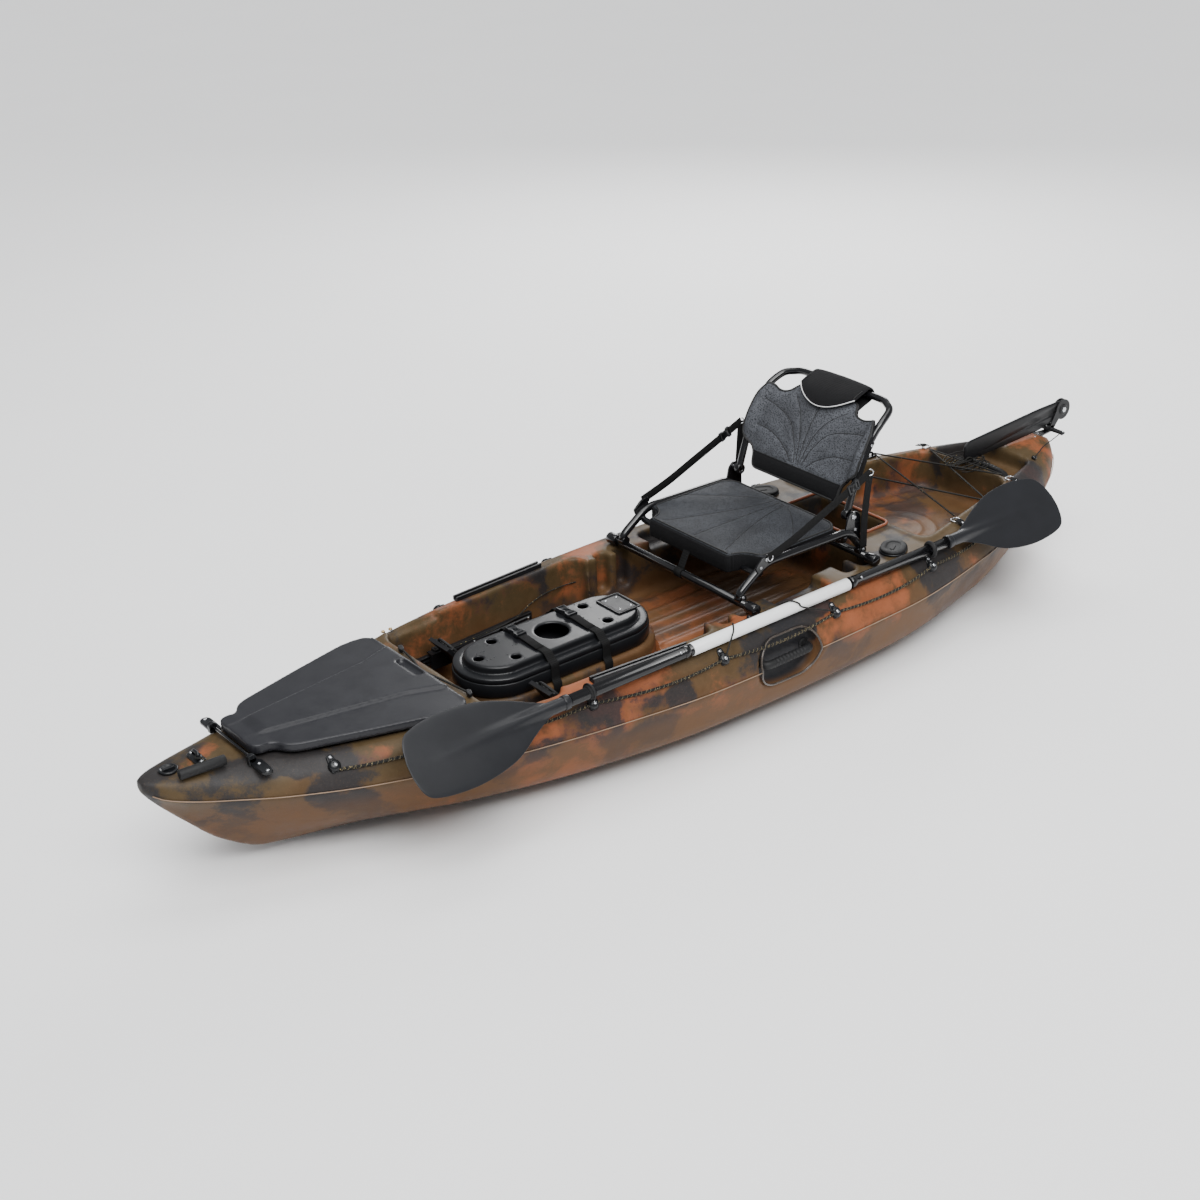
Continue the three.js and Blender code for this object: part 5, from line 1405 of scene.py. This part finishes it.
def laid_on(ob, route, radius, name, lift=0.2, down=-1):
    """A seam or piping that follows a face in plan."""
    tree = BVHTree.FromObject(ob, bpy.context.evaluated_depsgraph_get())
    points = []
    for x, y in route:
        hit = tree.ray_cast((x * MM, y * MM, -down), (0, 0, down))[0]
        if hit:
            points.append(Vector((x, y, hit.z / MM - down * lift)))
    near = [points[max(i - 2, 0):i + 3] for i in range(len(points))]
    return tube(name, [sum(group, Vector()) / len(group) for group in near], radius, 8)


def plan_curve(points, count=60):
    return [(p.x, p.y) for p in spline([(x, y, 0) for x, y in points], count)]


def once_round(outline, count):
    """Evenly spaced points round a closed outline, in plan."""
    return [(p.x, p.y) for p in spaced([(x, y, 0) for x, y in outline + outline[:1]], count)]


def two_cloths(ob, face, border, share=0.62):
    """One cloth on the faces that look up more steeply than share says, another on the sides and underneath.
    """
    ob.data.materials.clear()
    ob.data.materials.append(face)
    ob.data.materials.append(border)
    for polygon in ob.data.polygons:
        polygon.material_index = 0 if polygon.normal.z > share else 1
    return ob


def seat_cushion():
    half = [(-76, 160), (-98, 163), (-116, 174), (-127, 192), (-133, 220), (-392, 221), (-422, 190)]
    outline = rounded(mirrored(half), 8, 4)
    fan = [plan_curve(p) for s in (1, -1) for p in (
        [(-408, s * 20), (-330, s * 34), (-220, s * 70), (-92, s * 124)],
        [(-400, s * 40), (-370, s * 84), (-320, s * 142), (-250, s * 212)])]
    fan.append(plan_curve([(-410, 0), (-300, 0), (-190, 0), (-90, 0)]))
    rim = once_round(outline, 260)
    ob = slab("seat_cushion_visual", outline, 385, 413, 5, segments=3)
    puffed(ob, fan + [rim], 4.0, 8.0)
    channelled(ob, fan, 399, 2.6, 8)
    subdivided(ob)
    lines = [laid_on(ob, route, 0.9, "stitch", 0.1) for route in fan]
    border = laid_on(ob, once_round(offset(outline, -6), 240), 2.4, "border", 0.6)
    two_cloths(ob, SEAT_MESH, CANVAS)
    front = [(-130, 214), (-122, 190), (-112, 173), (-95, 161), (-70, 157), (-70, 0)]
    front = bent([(x, y, 388) for x, y in front] + [(x, -y, 388) for x, y in reversed(front[:-1])], 10, 4)
    apron = painted(strap("apron", front, 46, 3.2, (0, 0, 1)), CANVAS)
    whole = merged("seat_cushion_visual", [ob, apron] + [painted(line, PIPING) for line in lines + [border]])
    place(whole, HULL, None, ("seat_cushion",))


def seat_back():
    low = back_run(450)
    half = [(low, 168), (low + 50, 174), (low + 74, 204), (low + 88, 225)]
    half += [(back_run(z), y) for z, y in ((600, 225), (636, 221), (660, 204), (664, 190), (656, 160),
                                           (660, 128), (680, 108))]
    outline = rounded([(s, y) for s, y in half] + [(s, -y) for s, y in reversed(half)], 12, 4)
    top = back_run(668)
    fan = [plan_curve([(low + 56, 0), (150, 0), (220, 0), (top - 10, 0)])]
    for s in (1, -1):
        fan.append(plan_curve([(low + 56, s * 14), (120, s * 30), (180, s * 74), (206, s * 150),
                               (212, s * 192)]))
        fan.append(plan_curve([(low + 56, s * 28), (104, s * 62), (132, s * 120), (140, s * 188)]))
        fan.append(plan_curve([(low + 60, s * 6), (150, s * 22), (210, s * 52), (252, s * 98)]))
    seam = plan_curve([(low + 50, -160), (low + 50, 0), (low + 50, 160)])
    rim = once_round(outline, 260)
    ob = slab("seat_back_visual", outline, -9, 5, 5, segments=3)
    puffed(ob, fan + [rim, seam], 4.0, 6.0)
    channelled(ob, fan + [seam], -2, 2.6, 8)
    subdivided(ob)
    lines = [laid_on(ob, route, 0.9, "stitch", 0.1) for route in fan + [seam]]
    border = laid_on(ob, once_round(offset(outline, -4), 260), 3.0, "border", 0.4)
    ob.data.materials.clear()
    for cloth in (BACK_MESH, CANVAS):
        ob.data.materials.append(cloth)
    for polygon in ob.data.polygons:
        on_face = abs(polygon.normal.z) > 0.6 and polygon.center.x > (low + 50) * MM
        polygon.material_index = 0 if on_face else 1
    whole = merged("seat_back_visual", [ob] + [painted(line, PIPING) for line in lines + [border]])
    for v in whole.data.vertices:
        share = min(1.0, max(0.0, (abs(v.co.y) / MM - 180) / 24))
        v.co.z += 14 * MM * share * share * (3 - 2 * share)
    bend_onto_back(whole)
    place(whole, "seat_back", None, ("seat_back_cushion",))


def headrest():
    """A padded flap that wraps the back's crown, with a curved lower edge."""
    crown, radius = Vector((-634, 0, 695)), 17.5

    def lower_edge(y):
        return 238 + 46 * (y / 104) ** 2

    def path(y, thick):
        front = [back_point(s, y, 18) for s in np.linspace(lower_edge(y), 322, 14)]
        wrap = [crown + Vector((radius * math.cos(a), y, radius * math.sin(a)))
                for a in np.radians(np.linspace(72, 242, 13))]
        behind = [back_point(s, y, -17) for s in np.linspace(322, 276, 8)]
        line = front + wrap + behind
        outer, inner = [], []
        for i, p in enumerate(line):
            way = (line[min(i + 1, len(line) - 1)] - line[max(i - 1, 0)]).normalized()
            side = Vector((-way.z, 0, way.x)) * -1
            t = thick * (0.35 + 0.65 * min(1.0, i / 3, (len(line) - 1 - i) / 3))
            outer.append(p + side * t)
            inner.append(p - side * min(t, 3.0))
        return outer + inner[::-1]

    ys = [-104, -103, -100, -95] + list(np.linspace(-88, 88, 23)) + [95, 100, 103, 104]
    thickness = [float(np.interp(abs(y), (0, 60, 88, 100, 104), (7.0, 6.0, 4.4, 3.0, 1.2))) for y in ys]
    pad = loft("seat_headrest_visual", [path(y, thick) for y, thick in zip(ys, thickness)])
    pad.data.materials.append(CANVAS)
    smile = [back_point(lower_edge(y) + 1, y, 19.5) for y in np.linspace(-103, 103, 60)]
    piping = painted(tube("piping", smile, 1.5, 10), WHITE_PIPING)
    hems = [painted(tube("hem", [back_point(s, y, 22.6) for s in np.linspace(286, 318, 12)], 1.0, 8), PIPING)
            for y in (98, -98)]
    whole = merged("seat_headrest_visual", [pad, piping] + hems)
    place(whole, "seat_back", None, ("seat_headrest",))


def seat_frames():
    end_cap = [(0, 0), (14, 0), (15.5, 1.6), (15.5, 33), (13.5, 35.6), (0, 36)]
    for name, x in (("front", FRONT_BAR), ("rear", REAR_BAR)):
        parts = [tube("bar", [(x, y, BAR_Z) for y in (-282, 0, 282)], 11, 28)]
        for side in (1, -1):
            parts.append(lathe("cap", end_cap, (x, side * 263, BAR_Z), (0, side, 0), 28))
        stand_in(f"seat_{name}_bar", parts, HULL, TUBE_BLACK)
    parts, heads = [], []
    for side in (1, -1):
        y = side * LEG_Y
        rise = [(-43, 332), (-43, 345), (-128, 403), (-432, 397), (-477, 345), (-477, 332)]
        parts.append(tube("side", bent([(x, y, z) for x, z in rise], 30), 11, 24))
        for x in (FRONT_BAR, REAR_BAR):
            parts.append(slab("foot", stadium(x, 329, 27, 24), y - 11, y + 11, 2.4, "y"))
            heads.append(((x, side * (LEG_Y + 11), 334), (0, side, 0), 5))
        plate = rounded([(-420, 392), (-480, 348), (-476, 436), (-462, 448), (-444, 449), (-430, 436)], 7, 4)
        parts.append(slab("bracket", plate, *sorted((side * 231.5, side * 237)), 1.0, "y"))
        parts.append(tube("stud", [(PIVOT_X, side * 222, PIVOT_Z), (PIVOT_X, y, PIVOT_Z)], 6, 20))
        heads.append(((PIVOT_X, side * 237, PIVOT_Z), (0, side, 0), 8))
        heads.append(((-458, side * 237, 396), (0, side, 0), 5))
        tab = rounded([(-96, 384), (-128, 398), (-146, 420), (-134, 430), (-112, 424), (-88, 402)], 6, 4)
        parts.append(slab("tab", tab, *sorted((side * 241, side * 247)), 1.2, "y"))
        heads.append(((-126, side * 247, 416), (0, side, 0), 5.5))
        heads.append(((-106, side * 247, 399), (0, side, 0), 4.5))
    for x in (-112, -418):
        dip = [(x, -LEG_Y, 399), (x, -LEG_Y, 372), (x, LEG_Y, 372), (x, LEG_Y, 399)]
        parts.append(tube("crossbar", bent(dip, 20), 9, 20))
    stand_in("seat_base_frame", parts, HULL, TUBE_BLACK)
    screws("seat_bolts", heads)

    up_to_seat = spline([(-47, 0, 329), (-58, 0, 352), (-72, 0, 378), (-86, 0, 388)], 14)
    ties = [band_round("tie", (FRONT_BAR, 0, BAR_Z), (0, 1, 0), 11.6, 25),
            strap("tail", up_to_seat, 25, 1.8, (0, 1, 0))]
    ties += [band_round("tie", (x, y, 372), (0, 1, 0), 9.6, 22) for x in (-112, -418) for y in (150, -150)]
    place(merged("seat_ties", ties), HULL, WEBBING)


def seat_back_frame():
    side_run = [back_point(s, 212) for s in np.linspace(0, 262, 10)]
    crown = [(-606, 202, 684), (-624, 178, 691), (-634, 146, 695), (-634, 60, 695)]
    half = side_run + [Vector(p) for p in crown]
    whole = half + [Vector((p.x, -p.y, p.z)) for p in reversed(half)]
    parts = [tube("hoop", spline(whole, 190), 10, 22)]
    eye = [(6.4, -9), (14, -9), (15, -8), (15, 8), (14, 9), (6.4, 9), (6.4, -9)]
    heads = []
    for side in (1, -1):
        parts.append(lathe("eye", eye, (PIVOT_X, side * 212, PIVOT_Z), (0, 1, 0), 32))
        for s in (100, 196):
            p = back_point(s, side * 222)
            heads.append((p + Vector((0, side * 0.4, 0)), (0, side, 0), 4.6))
    stand_in("seat_back_frame", parts, "seat_back", TUBE_BLACK)
    screws("seat_back_bolts", heads, "seat_back")
    sleeves = [tube("sleeve", [back_point(s, y) for s in np.linspace(92, 206, 16)], 12.4, 24)
               for y in (212, -212)]
    place(merged("seat_back_sleeves", sleeves), "seat_back", CANVAS)


def seat_straps():
    for name, side in SIDES:
        y = side * 251
        low, high = Vector((-124, y, 420)), Vector((-492, y, 556))
        taut = spline([low, (-220, y, 449), (-310, y, 484), (-400, y, 519), high], 40)
        run = strap("run", taut, 25, 2.0, (0, 0, 1))
        hang = spline([high, (-486, y - side * 2, 500), (-480, y - side * 3, 420),
                       (-480, y - side * 3, 340)], 30)
        tail = painted(strap(f"seat_strap_tail_{name}", hang, 25, 1.8, (1, 0, 0)), WEBBING)
        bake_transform(tail)
        clasp = buckle("clasp", (-430, y, 531), (-0.93, 0, 0.36), (0, side, 0), 32, 40, 8)
        slide = ring("slide", (-134, y, 422), (0, 1, 0.2), 9, 1.8)
        upper = ring("upper", (-492, y, 556), (0.5, 1, 0.2), 8, 1.6)
        whole = merged(f"seat_strap_{name}_visual", [painted(run, WEBBING)]
                       + [painted(clasp, BLACK_MOULDED), painted(slide, STEEL), painted(upper, STEEL)])
        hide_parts(f"seat_strap_{name}")
        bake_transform(whole)


seat_cushion()
seat_back()
headrest()
seat_frames()
seat_back_frame()
seat_straps()

# ------------------------------------------------------------------ rod holders, handles and stern


def rod_holders():
    for name, side in SIDES:
        level = deck_height(ROD_X, ROD_Y) + 1.5
        turn = side * 30

        def outline(grow):
            return turned_about(stadium(0, 0, 93 + 2 * grow, 74 + 2 * grow, 24), ROD_X, side * ROD_Y, turn)

        way, mouth = rod_axis(side)
        flange = loft(f"rod_holder_{name}_visual", [[(x, y, z) for x, y in outline(g)]
                                                    for z, g in ((level - 1, 0), (level + 2.4, 0),
                                                                 (level + 4, -1.4))])
        boolean(flange, tube("barrel", [mouth - way * 118, mouth + way * 3.5], 22, 40), "UNION")
        boolean(flange, tube("bore", [mouth - way * 114, mouth + way * 60], 19.5, 40))
        place(flange, HULL, BLACK_MOULDED, (f"rod_holder_{name}",))

        crown = [(4.4, -3), (5.2, -2), (8.6, -2), (10.4, -3.2), (11.4, -6), (11.8, -11)]
        cap = loft("cap", [[(x, y, level + up) for x, y in outline(g)] for up, g in crown])
        hollow = [(10.2, -22), (10.6, -19), (14, -15.5)]
        dish = loft("dish", [[(x, y, level + up) for x, y in outline(g)] for up, g in hollow])
        boolean(cap, dish)
        pull = turned_about(stadium(6, 0, 34, 13, 12), ROD_X, side * ROD_Y, turn)
        rise = slab("pull", pull, level + 9, level + 11.8, 1.2)
        stand_in(f"rod_holder_cap_{name}", [cap, rise], f"rod_cap_{name}", RUBBER)


def side_handles():
    for name, side in SIDES:
        ends = (RECESS_X - 78, RECESS_X + 78)
        corners = ((ends[0], 353), (ends[0], 382), (ends[1], 382), (ends[1], 353))
        route = bent([(x, side * y, RECESS_Z) for x, y in corners], 20, 8)
        ridges = spaced(route, 150)
        run = [i / 149 for i in range(150)]
        swell = [1.0 + (0.07 * math.cos(t * 2 * math.pi * 17) if 0.24 < t < 0.76 else 0.0) for t in run]
        grip = tube("grip", ridges, 11, 24, scale=swell)
        profile = [(0, -2), (16, -2), (16, 2), (13, 4.4), (0, 4.6)]
        feet = [lathe("foot", profile, (x, side * 352.5, RECESS_Z), (0, side, 0), 28) for x in ends]
        stand_in(f"side_handle_{name}", [grip] + feet, HULL, RUBBER)


def stern_handle():
    shelf = 261
    route = spline([(-1238, -100, shelf + 10), (-1262, -72, shelf + 13), (-1272, 0, shelf + 14),
                    (-1262, 72, shelf + 13), (-1238, 100, shelf + 10)], 120)
    swell = [1.0 + (0.08 * math.cos(i * 0.9) if 34 < i < 86 else 0.0) for i in range(120)]
    parts = [tube("grip", route, 9, 22, scale=swell)]
    foot = [(0, -9), (9.5, -9), (11, -7.5), (11, 7.5), (9.5, 9), (0, 9)]
    for side in (1, -1):
        parts.append(lathe("foot", foot, (-1238, side * 103, shelf + 12), (0, 1, 0), 28))
    stand_in("stern_handle", parts, "stern_handle", RUBBER)


def hank():
    """The rudder's spare line, gathered in a loose hank ahead of the blade."""
    route, turns, count = [], 7, 640
    for i in range(count):
        k = turns * i / (count - 1)
        t = 2 * math.pi * k
        x = -1176 + (58 + 1.6 * k) * math.cos(t)
        y = 30 - 8 * k + (29 + 4 * math.sin(1.9 * k)) * math.sin(t) + 3 * math.cos(1.7 * k)
        route.append((x, y, 309 + 2.2 * k + 3 * math.sin(t + k * 1.3)))
    line = place(tube("rudder_line_hank", route, 1.7, 8), HULL, ELASTIC)
    tie = place(band_round("rudder_line_tie", (-1176, 8, 318), (0.3, 1, 0), 13, 7, 1.6), HULL,
                ELASTIC)


def deck_lashing():
    points = [(-850, -240, 0), (-1010, 253, 0), (-1181, -196, 0), (-1181, 196, 7), (-1010, -253, 9),
              (-850, 240, 9)]
    route = arced([(x, y, deck_height(x, y * 0.85) + 7 + lift) for x, y, lift in points], 10.5)
    cord = place(tube("tank_well_bungee_visual", route, 2.5, 12), HULL, ELASTIC,
                 ("tank_well_bungee",))

    rings, webbing, pads, heads = [], [], [], []
    for x, y, toward in ((-848, 262, 1), (-848, -262, -1), (-1178, 176, 1), (-1178, -176, -1)):
        z = deck_height(x, y) + 6
        dee = bent([(x - 13, y - toward * 4, z + 1), (x - 13, y - toward * 22, z + 2),
                    (x + 13, y - toward * 22, z + 2), (x + 13, y - toward * 4, z + 1),
                    (x - 13, y - toward * 4, z + 1)], 9, 5)
        rings.append(tube("dee", dee, 2.2, 12))
        tab = [(x, y - toward * 6, z + 3.6), (x, y + toward * 2, z + 3.8), (x, y + toward * 22, z - 2.4)]
        webbing.append(strap("tab", bent(tab, 5), 22, 2.6, (1, 0, 0)))
        heads.append(((x, y + toward * 14, z + 1.6), (0, 0, 1), 4.4))
    for x, y in ((-1010, 236), (-1010, -236)):
        z = deck_height(x, y)
        pads.append(slab("fairlead", stadium(x, y, 44, 18), z - 2, z + 5, 2.2, segments=3))
        arch = [(x - 9, y, z + 3), (x - 9, y, z + 15), (x + 9, y, z + 15), (x + 9, y, z + 3)]
        pads.append(tube("eye", bent(arch, 8), 3.2, 14))
        heads += [((x + dx, y, z + 4.6), (0, 0, 1), 3.6) for dx in (-16, 16)]
    place(merged("lashing_rings", rings), HULL, STEEL)
    place(merged("lashing_tabs", webbing), HULL, WEBBING)
    place(merged("lashing_fairleads", pads), HULL, BLACK_MOULDED)
    screws("lashing_screws", heads)


def rudder():
    pivot_x, pivot_z, post_x = -1605, 372, -1545
    eye_x, eye_y = -1543.5, 57
    stern_top = deck_height(-1462, 0) + 1
    plate = rounded([(-1462, 22), (-1530, 12), (-1562, 9), (-1562, -9), (-1530, -12), (-1462, -22)], 6, 4)
    bracket = [slab("plate", plate, stern_top - 1, stern_top + 5, 1.6),
               lathe("post", [(0, 0), (4, 0), (4, 16), (3.2, 17), (0, 17)], (post_x, 0, stern_top + 3),
                     segments=24)]
    stand_in("rudder_bracket", bracket, HULL, TUBE_BLACK)
    spots = ((-1474, 12), (-1474, -12), (-1502, 0))
    screws("rudder_bracket_screws", [((x, y, stern_top + 4.7), (0, 0, 1), 3.6) for x, y in spots])

    low = stern_top + 5.4
    barrel = [(4.6, 0), (10, 0), (10.6, 1), (10.6, 14), (9.6, 15), (4.6, 15), (4.6, 0)]
    parts = [lathe("barrel", barrel, (post_x, 0, low), segments=28)]
    arm = rounded([(-1535, 66), (-1552, 66), (-1558, 0), (-1552, -66), (-1535, -66), (-1534, 0)], 7, 4)
    arm_piece = slab("arm", arm, low + 4, low + 10, 1.4)
    for y in (-eye_y, eye_y):
        boolean(arm_piece, prism("eyehole", circle(eye_x, y, 3.4, 20), low, low + 20))
    parts.append(arm_piece)
    parts.append(block("web", -1566, -1549, -9, 9, low + 0.5, low + 15, 1.4))
    hull_points = [(-1550, low + 15), (-1550, low), (-1566, low)]
    disc = circle(pivot_x, pivot_z, 32, 56)
    tangent = [p for p in disc if not (p[0] > pivot_x + 18 and p[1] < pivot_z + 6) or p[1] > pivot_z]
    cheek = sorted(tangent + hull_points, key=lambda p: math.atan2(p[1] - 350, p[0] + 1590))
    for side in (1, -1):
        parts.append(slab("cheek", cheek, *sorted((side * 5.4, side * 9)), 0.8, "y"))
        boss = [(6, 0), (17, 0), (17, 1.4), (15, 2.6), (6, 2.6), (6, 0)]
        parts.append(lathe("boss", boss, (pivot_x, side * 8.8, pivot_z), (0, side, 0), 36))
    stand_in("rudder_yoke", parts, "rudder_head", BLACK_SATIN)

    nut = [lathe("shank", [(0, -12), (5, -12), (5, 12), (0, 12)], (pivot_x, 0, pivot_z), (0, 1, 0), 24)]
    for side in (1, -1):
        head = slab("head", circle(0, 0, 9, 6), 9.4, 14, 0.9)
        nut.append(oriented(head, (pivot_x, 0, pivot_z), (1, 0, 0), (0, side, 0)))
    stand_in("rudder_pivot_bolt", nut, "rudder_head", STEEL)

    slope = math.radians(-3.5)
    c, s = math.cos(slope), math.sin(slope)

    def blade_at(points):
        return [(pivot_x + u * c - v * s, pivot_z + u * s + v * c) for u, v in points]

    outline = rounded([(-26, -14), (-14, -26), (40, -30), (110, -38), (425, -32), (445, -16), (445, 22),
                       (427, 34), (110, 34), (20, 30), (-14, 26), (-26, 14)], 11, 5)
    blade = loft("rudder_blade_visual", [[(x, y, z) for x, z in blade_at(offset(outline, grow))]
                                         for y, grow in ((-4.5, -9), (-4.1, -4), (-2.6, -1), (-0.9, 0),
                                                         (0.9, 0), (2.6, -1), (4.1, -4), (4.5, -9))])
    boolean(blade, prism("bore", circle(pivot_x, pivot_z, 5.5, 32), -40, 40, "y"))
    place(blade, "rudder_blade", BLACK_SATIN, ("rudder_blade",))

    for name, side in SIDES:
        z = low + 7
        eye = ring(f"rudder_line_eye_{name}", (eye_x, side * eye_y, z), (1, 0, 0), 7, 1.2, 24)
        place(eye, "rudder_head", STEEL)
        route = spline([(-1537, side * eye_y, z), (-1500, side * 62, z - 6),
                        (-1440, side * 74, deck_height(-1440, 74) + 6),
                        (-1400, side * 90, deck_height(-1400, 90) + 3),
                        (-1362, side * 104, deck_height(-1362, 104) + 1)], 50)
        line = painted(tube(f"rudder_line_{name}", route, 1.5, 10), ELASTIC)
        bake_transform(line)
    guides = [lathe("guide", [(0, -3), (8, -3), (8, 2), (6, 4.5), (2.4, 5), (0, 5)],
                    (-1360, side * 104, deck_height(-1360, 104)), segments=24) for side in (1, -1)]
    place(merged("rudder_line_guides", guides), HULL, BLACK_MOULDED)


def keel_plate():
    outline = [(-1186, 24), (-1200, 2), (-1404, 4), (-1424, 22), (-1424, 44), (-1300, 36)]
    plate = slab("keel_skid_plate_visual", outline, -11, 11, 1.6, "y")
    place(plate, HULL, CHARCOAL, ("keel_skid_plate",))
    screws("keel_screws", [((x, 0, z), (0, 0, -1), 4.2) for x, z in ((-1240, 2.2), (-1330, 3.2))])


rod_holders()
side_handles()
stern_handle()
hank()
deck_lashing()
rudder()
keel_plate()

# ------------------------------------------------------------------ paddle

PADDLE_X, PADDLE_Y, PADDLE_Z = -55, 342, 316
NECK = 16.5


def blade_edge(points):
    """Runs along the blade and distances from its middle line, on a smooth curve."""
    curve = plan_curve(points, 120)
    return [u for u, v in curve], [v for u, v in curve]


BLADE_TOP = blade_edge([(60, 17), (90, 29), (120, 44), (190, 80), (280, 97), (360, 96), (420, 84), (441, 62),
                        (449, 22)])
BLADE_LOW = blade_edge([(60, -17), (90, -30), (150, -58), (230, -84), (330, -92), (410, -78), (436, -54),
                        (446, -20), (449, 0)])


def blade_ring(u):
    """A section across the blade: thin edges, a dished face and a spine that fades towards the tip."""
    top, low = (float(np.interp(max(u, 60), *edge)) for edge in (BLADE_TOP, BLADE_LOW))
    if u < 60:
        top, low = NECK + (top - NECK) * u / 60, -NECK + (low + NECK) * u / 60
    spine = float(np.interp(u, (0, 60, 120, 200, 330, 420), (NECK, 16.0, 13.0, 9.0, 4.5, 1.0)))
    width = float(np.interp(u, (0, 60, 200, 400), (NECK, NECK, 14, 9)))
    blend = min(1.0, max(0.0, (u - 20) / 70))
    upper, lower = [], []
    for k in range(25):
        t = -math.cos(math.pi * k / 24)
        v = (top + low) / 2 + (top - low) / 2 * t
        edge = math.sqrt(max(0.0, 1 - abs(t) ** 10))
        dish = -7.0 * blend * (v / 96) ** 2 + 3.0 * blend * math.sin(math.pi * min(1, max(0, (u - 60) / 390)))
        ridge = spine * math.exp(-(v / width) ** 2 * 1.2)
        round_part = math.sqrt(max(0.0, NECK ** 2 - min(abs(v), NECK) ** 2))
        high = (1 - blend) * round_part + blend * max(1.7 * edge, ridge * 0.95)
        deep = (1 - blend) * round_part + blend * max(1.7 * edge, ridge * 0.55)
        upper.append((u, v, dish + high))
        lower.append((u, v, dish - deep))
    return upper + lower[::-1]


def paddle_blade(name, side, shaft_end):
    us = [0, 6, 14, 24, 36, 48] + list(np.linspace(60, 440, 78)) + [443, 445.5, 447.5, 448.6]
    blade = loft(f"paddle_blade_{name}_visual", [blade_ring(u) for u in us])
    profile = [(16.2, 0.5), (18.0, 1.5), (18.6, 3), (18.6, 16), (17.6, 18), (16.2, 19), (16.2, 0.5)]
    collar = lathe("collar", profile, (0, 0, 0), (1, 0, 0), 36)
    blade = merged(blade.name, [blade, collar])
    turn = Matrix.Rotation(-math.radians(45), 4, "X")
    flip = Matrix.Scale(-1, 4, (1, 0, 0)) if side < 0 else Matrix.Identity(4)
    blade.data.transform(Matrix.Translation(Vector((shaft_end, PADDLE_Y, PADDLE_Z)) * MM) @ turn @ flip)
    if side < 0:
        blade.data.flip_normals()
    smoother = blade.modifiers.new("finer", "SUBSURF")
    smoother.levels = smoother.render_levels = 1
    applied(blade)
    blade.data.shade_smooth()
    place(blade, "paddle", PADDLE_GREY, (f"paddle_blade_{name}",))


def paddle():
    x, y, z, reach = PADDLE_X, PADDLE_Y, PADDLE_Z, 650
    profile = [(13.2, 0), (15, 0), (15, 2 * reach), (13.2, 2 * reach), (13.2, 0)]
    shaft = lathe("shaft", profile, (x - reach, y, z), (1, 0, 0), 40)
    profile = [(15, 0), (16.2, 0.6), (16.2, 17.4), (15, 18), (15, 0)]
    ferrules = [lathe("ferrule", profile, (x + at, y, z), (1, 0, 0), 40) for at in (-296, 280)]
    stand_in("paddle_shaft", [shaft] + ferrules, "paddle", TUBE_BLACK)
    profile = [(15.1, 0), (16.3, 0), (16.6, 0.4), (16.6, 539.6), (16.3, 540), (15.1, 540), (15.1, 0)]
    sleeve = lathe("paddle_grip_sleeve_visual", profile, (x - 270, y, z), (1, 0, 0), 40)
    place(sleeve, "paddle", WHITE, ("paddle_grip_sleeve",))
    profile = [(0, -1), (3.4, -1), (3.4, 0.8), (2.6, 1.6), (0, 1.9)]
    buttons = [lathe("button", profile, (x + at, y + 11.4, z + 11.4), (0, 1, 1), 20) for at in (-312, 312)]
    place(merged("paddle_buttons", buttons), "paddle", STEEL)
    cup_profile = [(15.4, -7), (18, -7), (19, -4.5), (22.0, -3.4), (23.4, -1), (23.8, 1.6), (22.8, 3),
                   (21, 1.2), (18.6, 1.6), (18, 7), (15.4, 7), (15.4, -7)]
    for name, side in (("front", 1), ("rear", -1)):
        end = x + side * reach
        paddle_blade(name, side, end)
        cup = lathe(f"drip_ring_{name}_visual", cup_profile, (end - side * 62, y, z), (side, 0, 0), 44)
        place(cup, "paddle", RUBBER, (f"drip_ring_{name}",))


def paddle_keeper():
    def round_shaft(x, degrees, reach=20.5):
        a = math.radians(degrees)
        return (x, PADDLE_Y + reach * math.cos(a), PADDLE_Z + reach * math.sin(a))

    over = [round_shaft(100 - 12 * i, d) for i, d in enumerate((0, 45, 90, 135, 170))]
    back = [round_shaft(-150 + 14 * i, d) for i, d in enumerate((0, 45, 90, 135, 170))]
    route = spline([(128, 372, 276)] + over + [(-16, 303, 309)] + back[::-1] + [(-250, 376, 276)], 150)
    profile = [(0, -6), (4.4, -6), (6, -3.6), (6, 3.6), (4.4, 6), (0, 6)]
    knob = lathe("paddle_bungee_knob", profile, (-16, 301, 309), (0.2, 1, 0.4), 20)
    place(knob, HULL, BLACK_MOULDED)
    cord = place(tube("paddle_bungee_visual", route, 2, 12), HULL, ELASTIC, ("paddle_bungee",))


paddle()
paddle_keeper()

drop(SCREW)
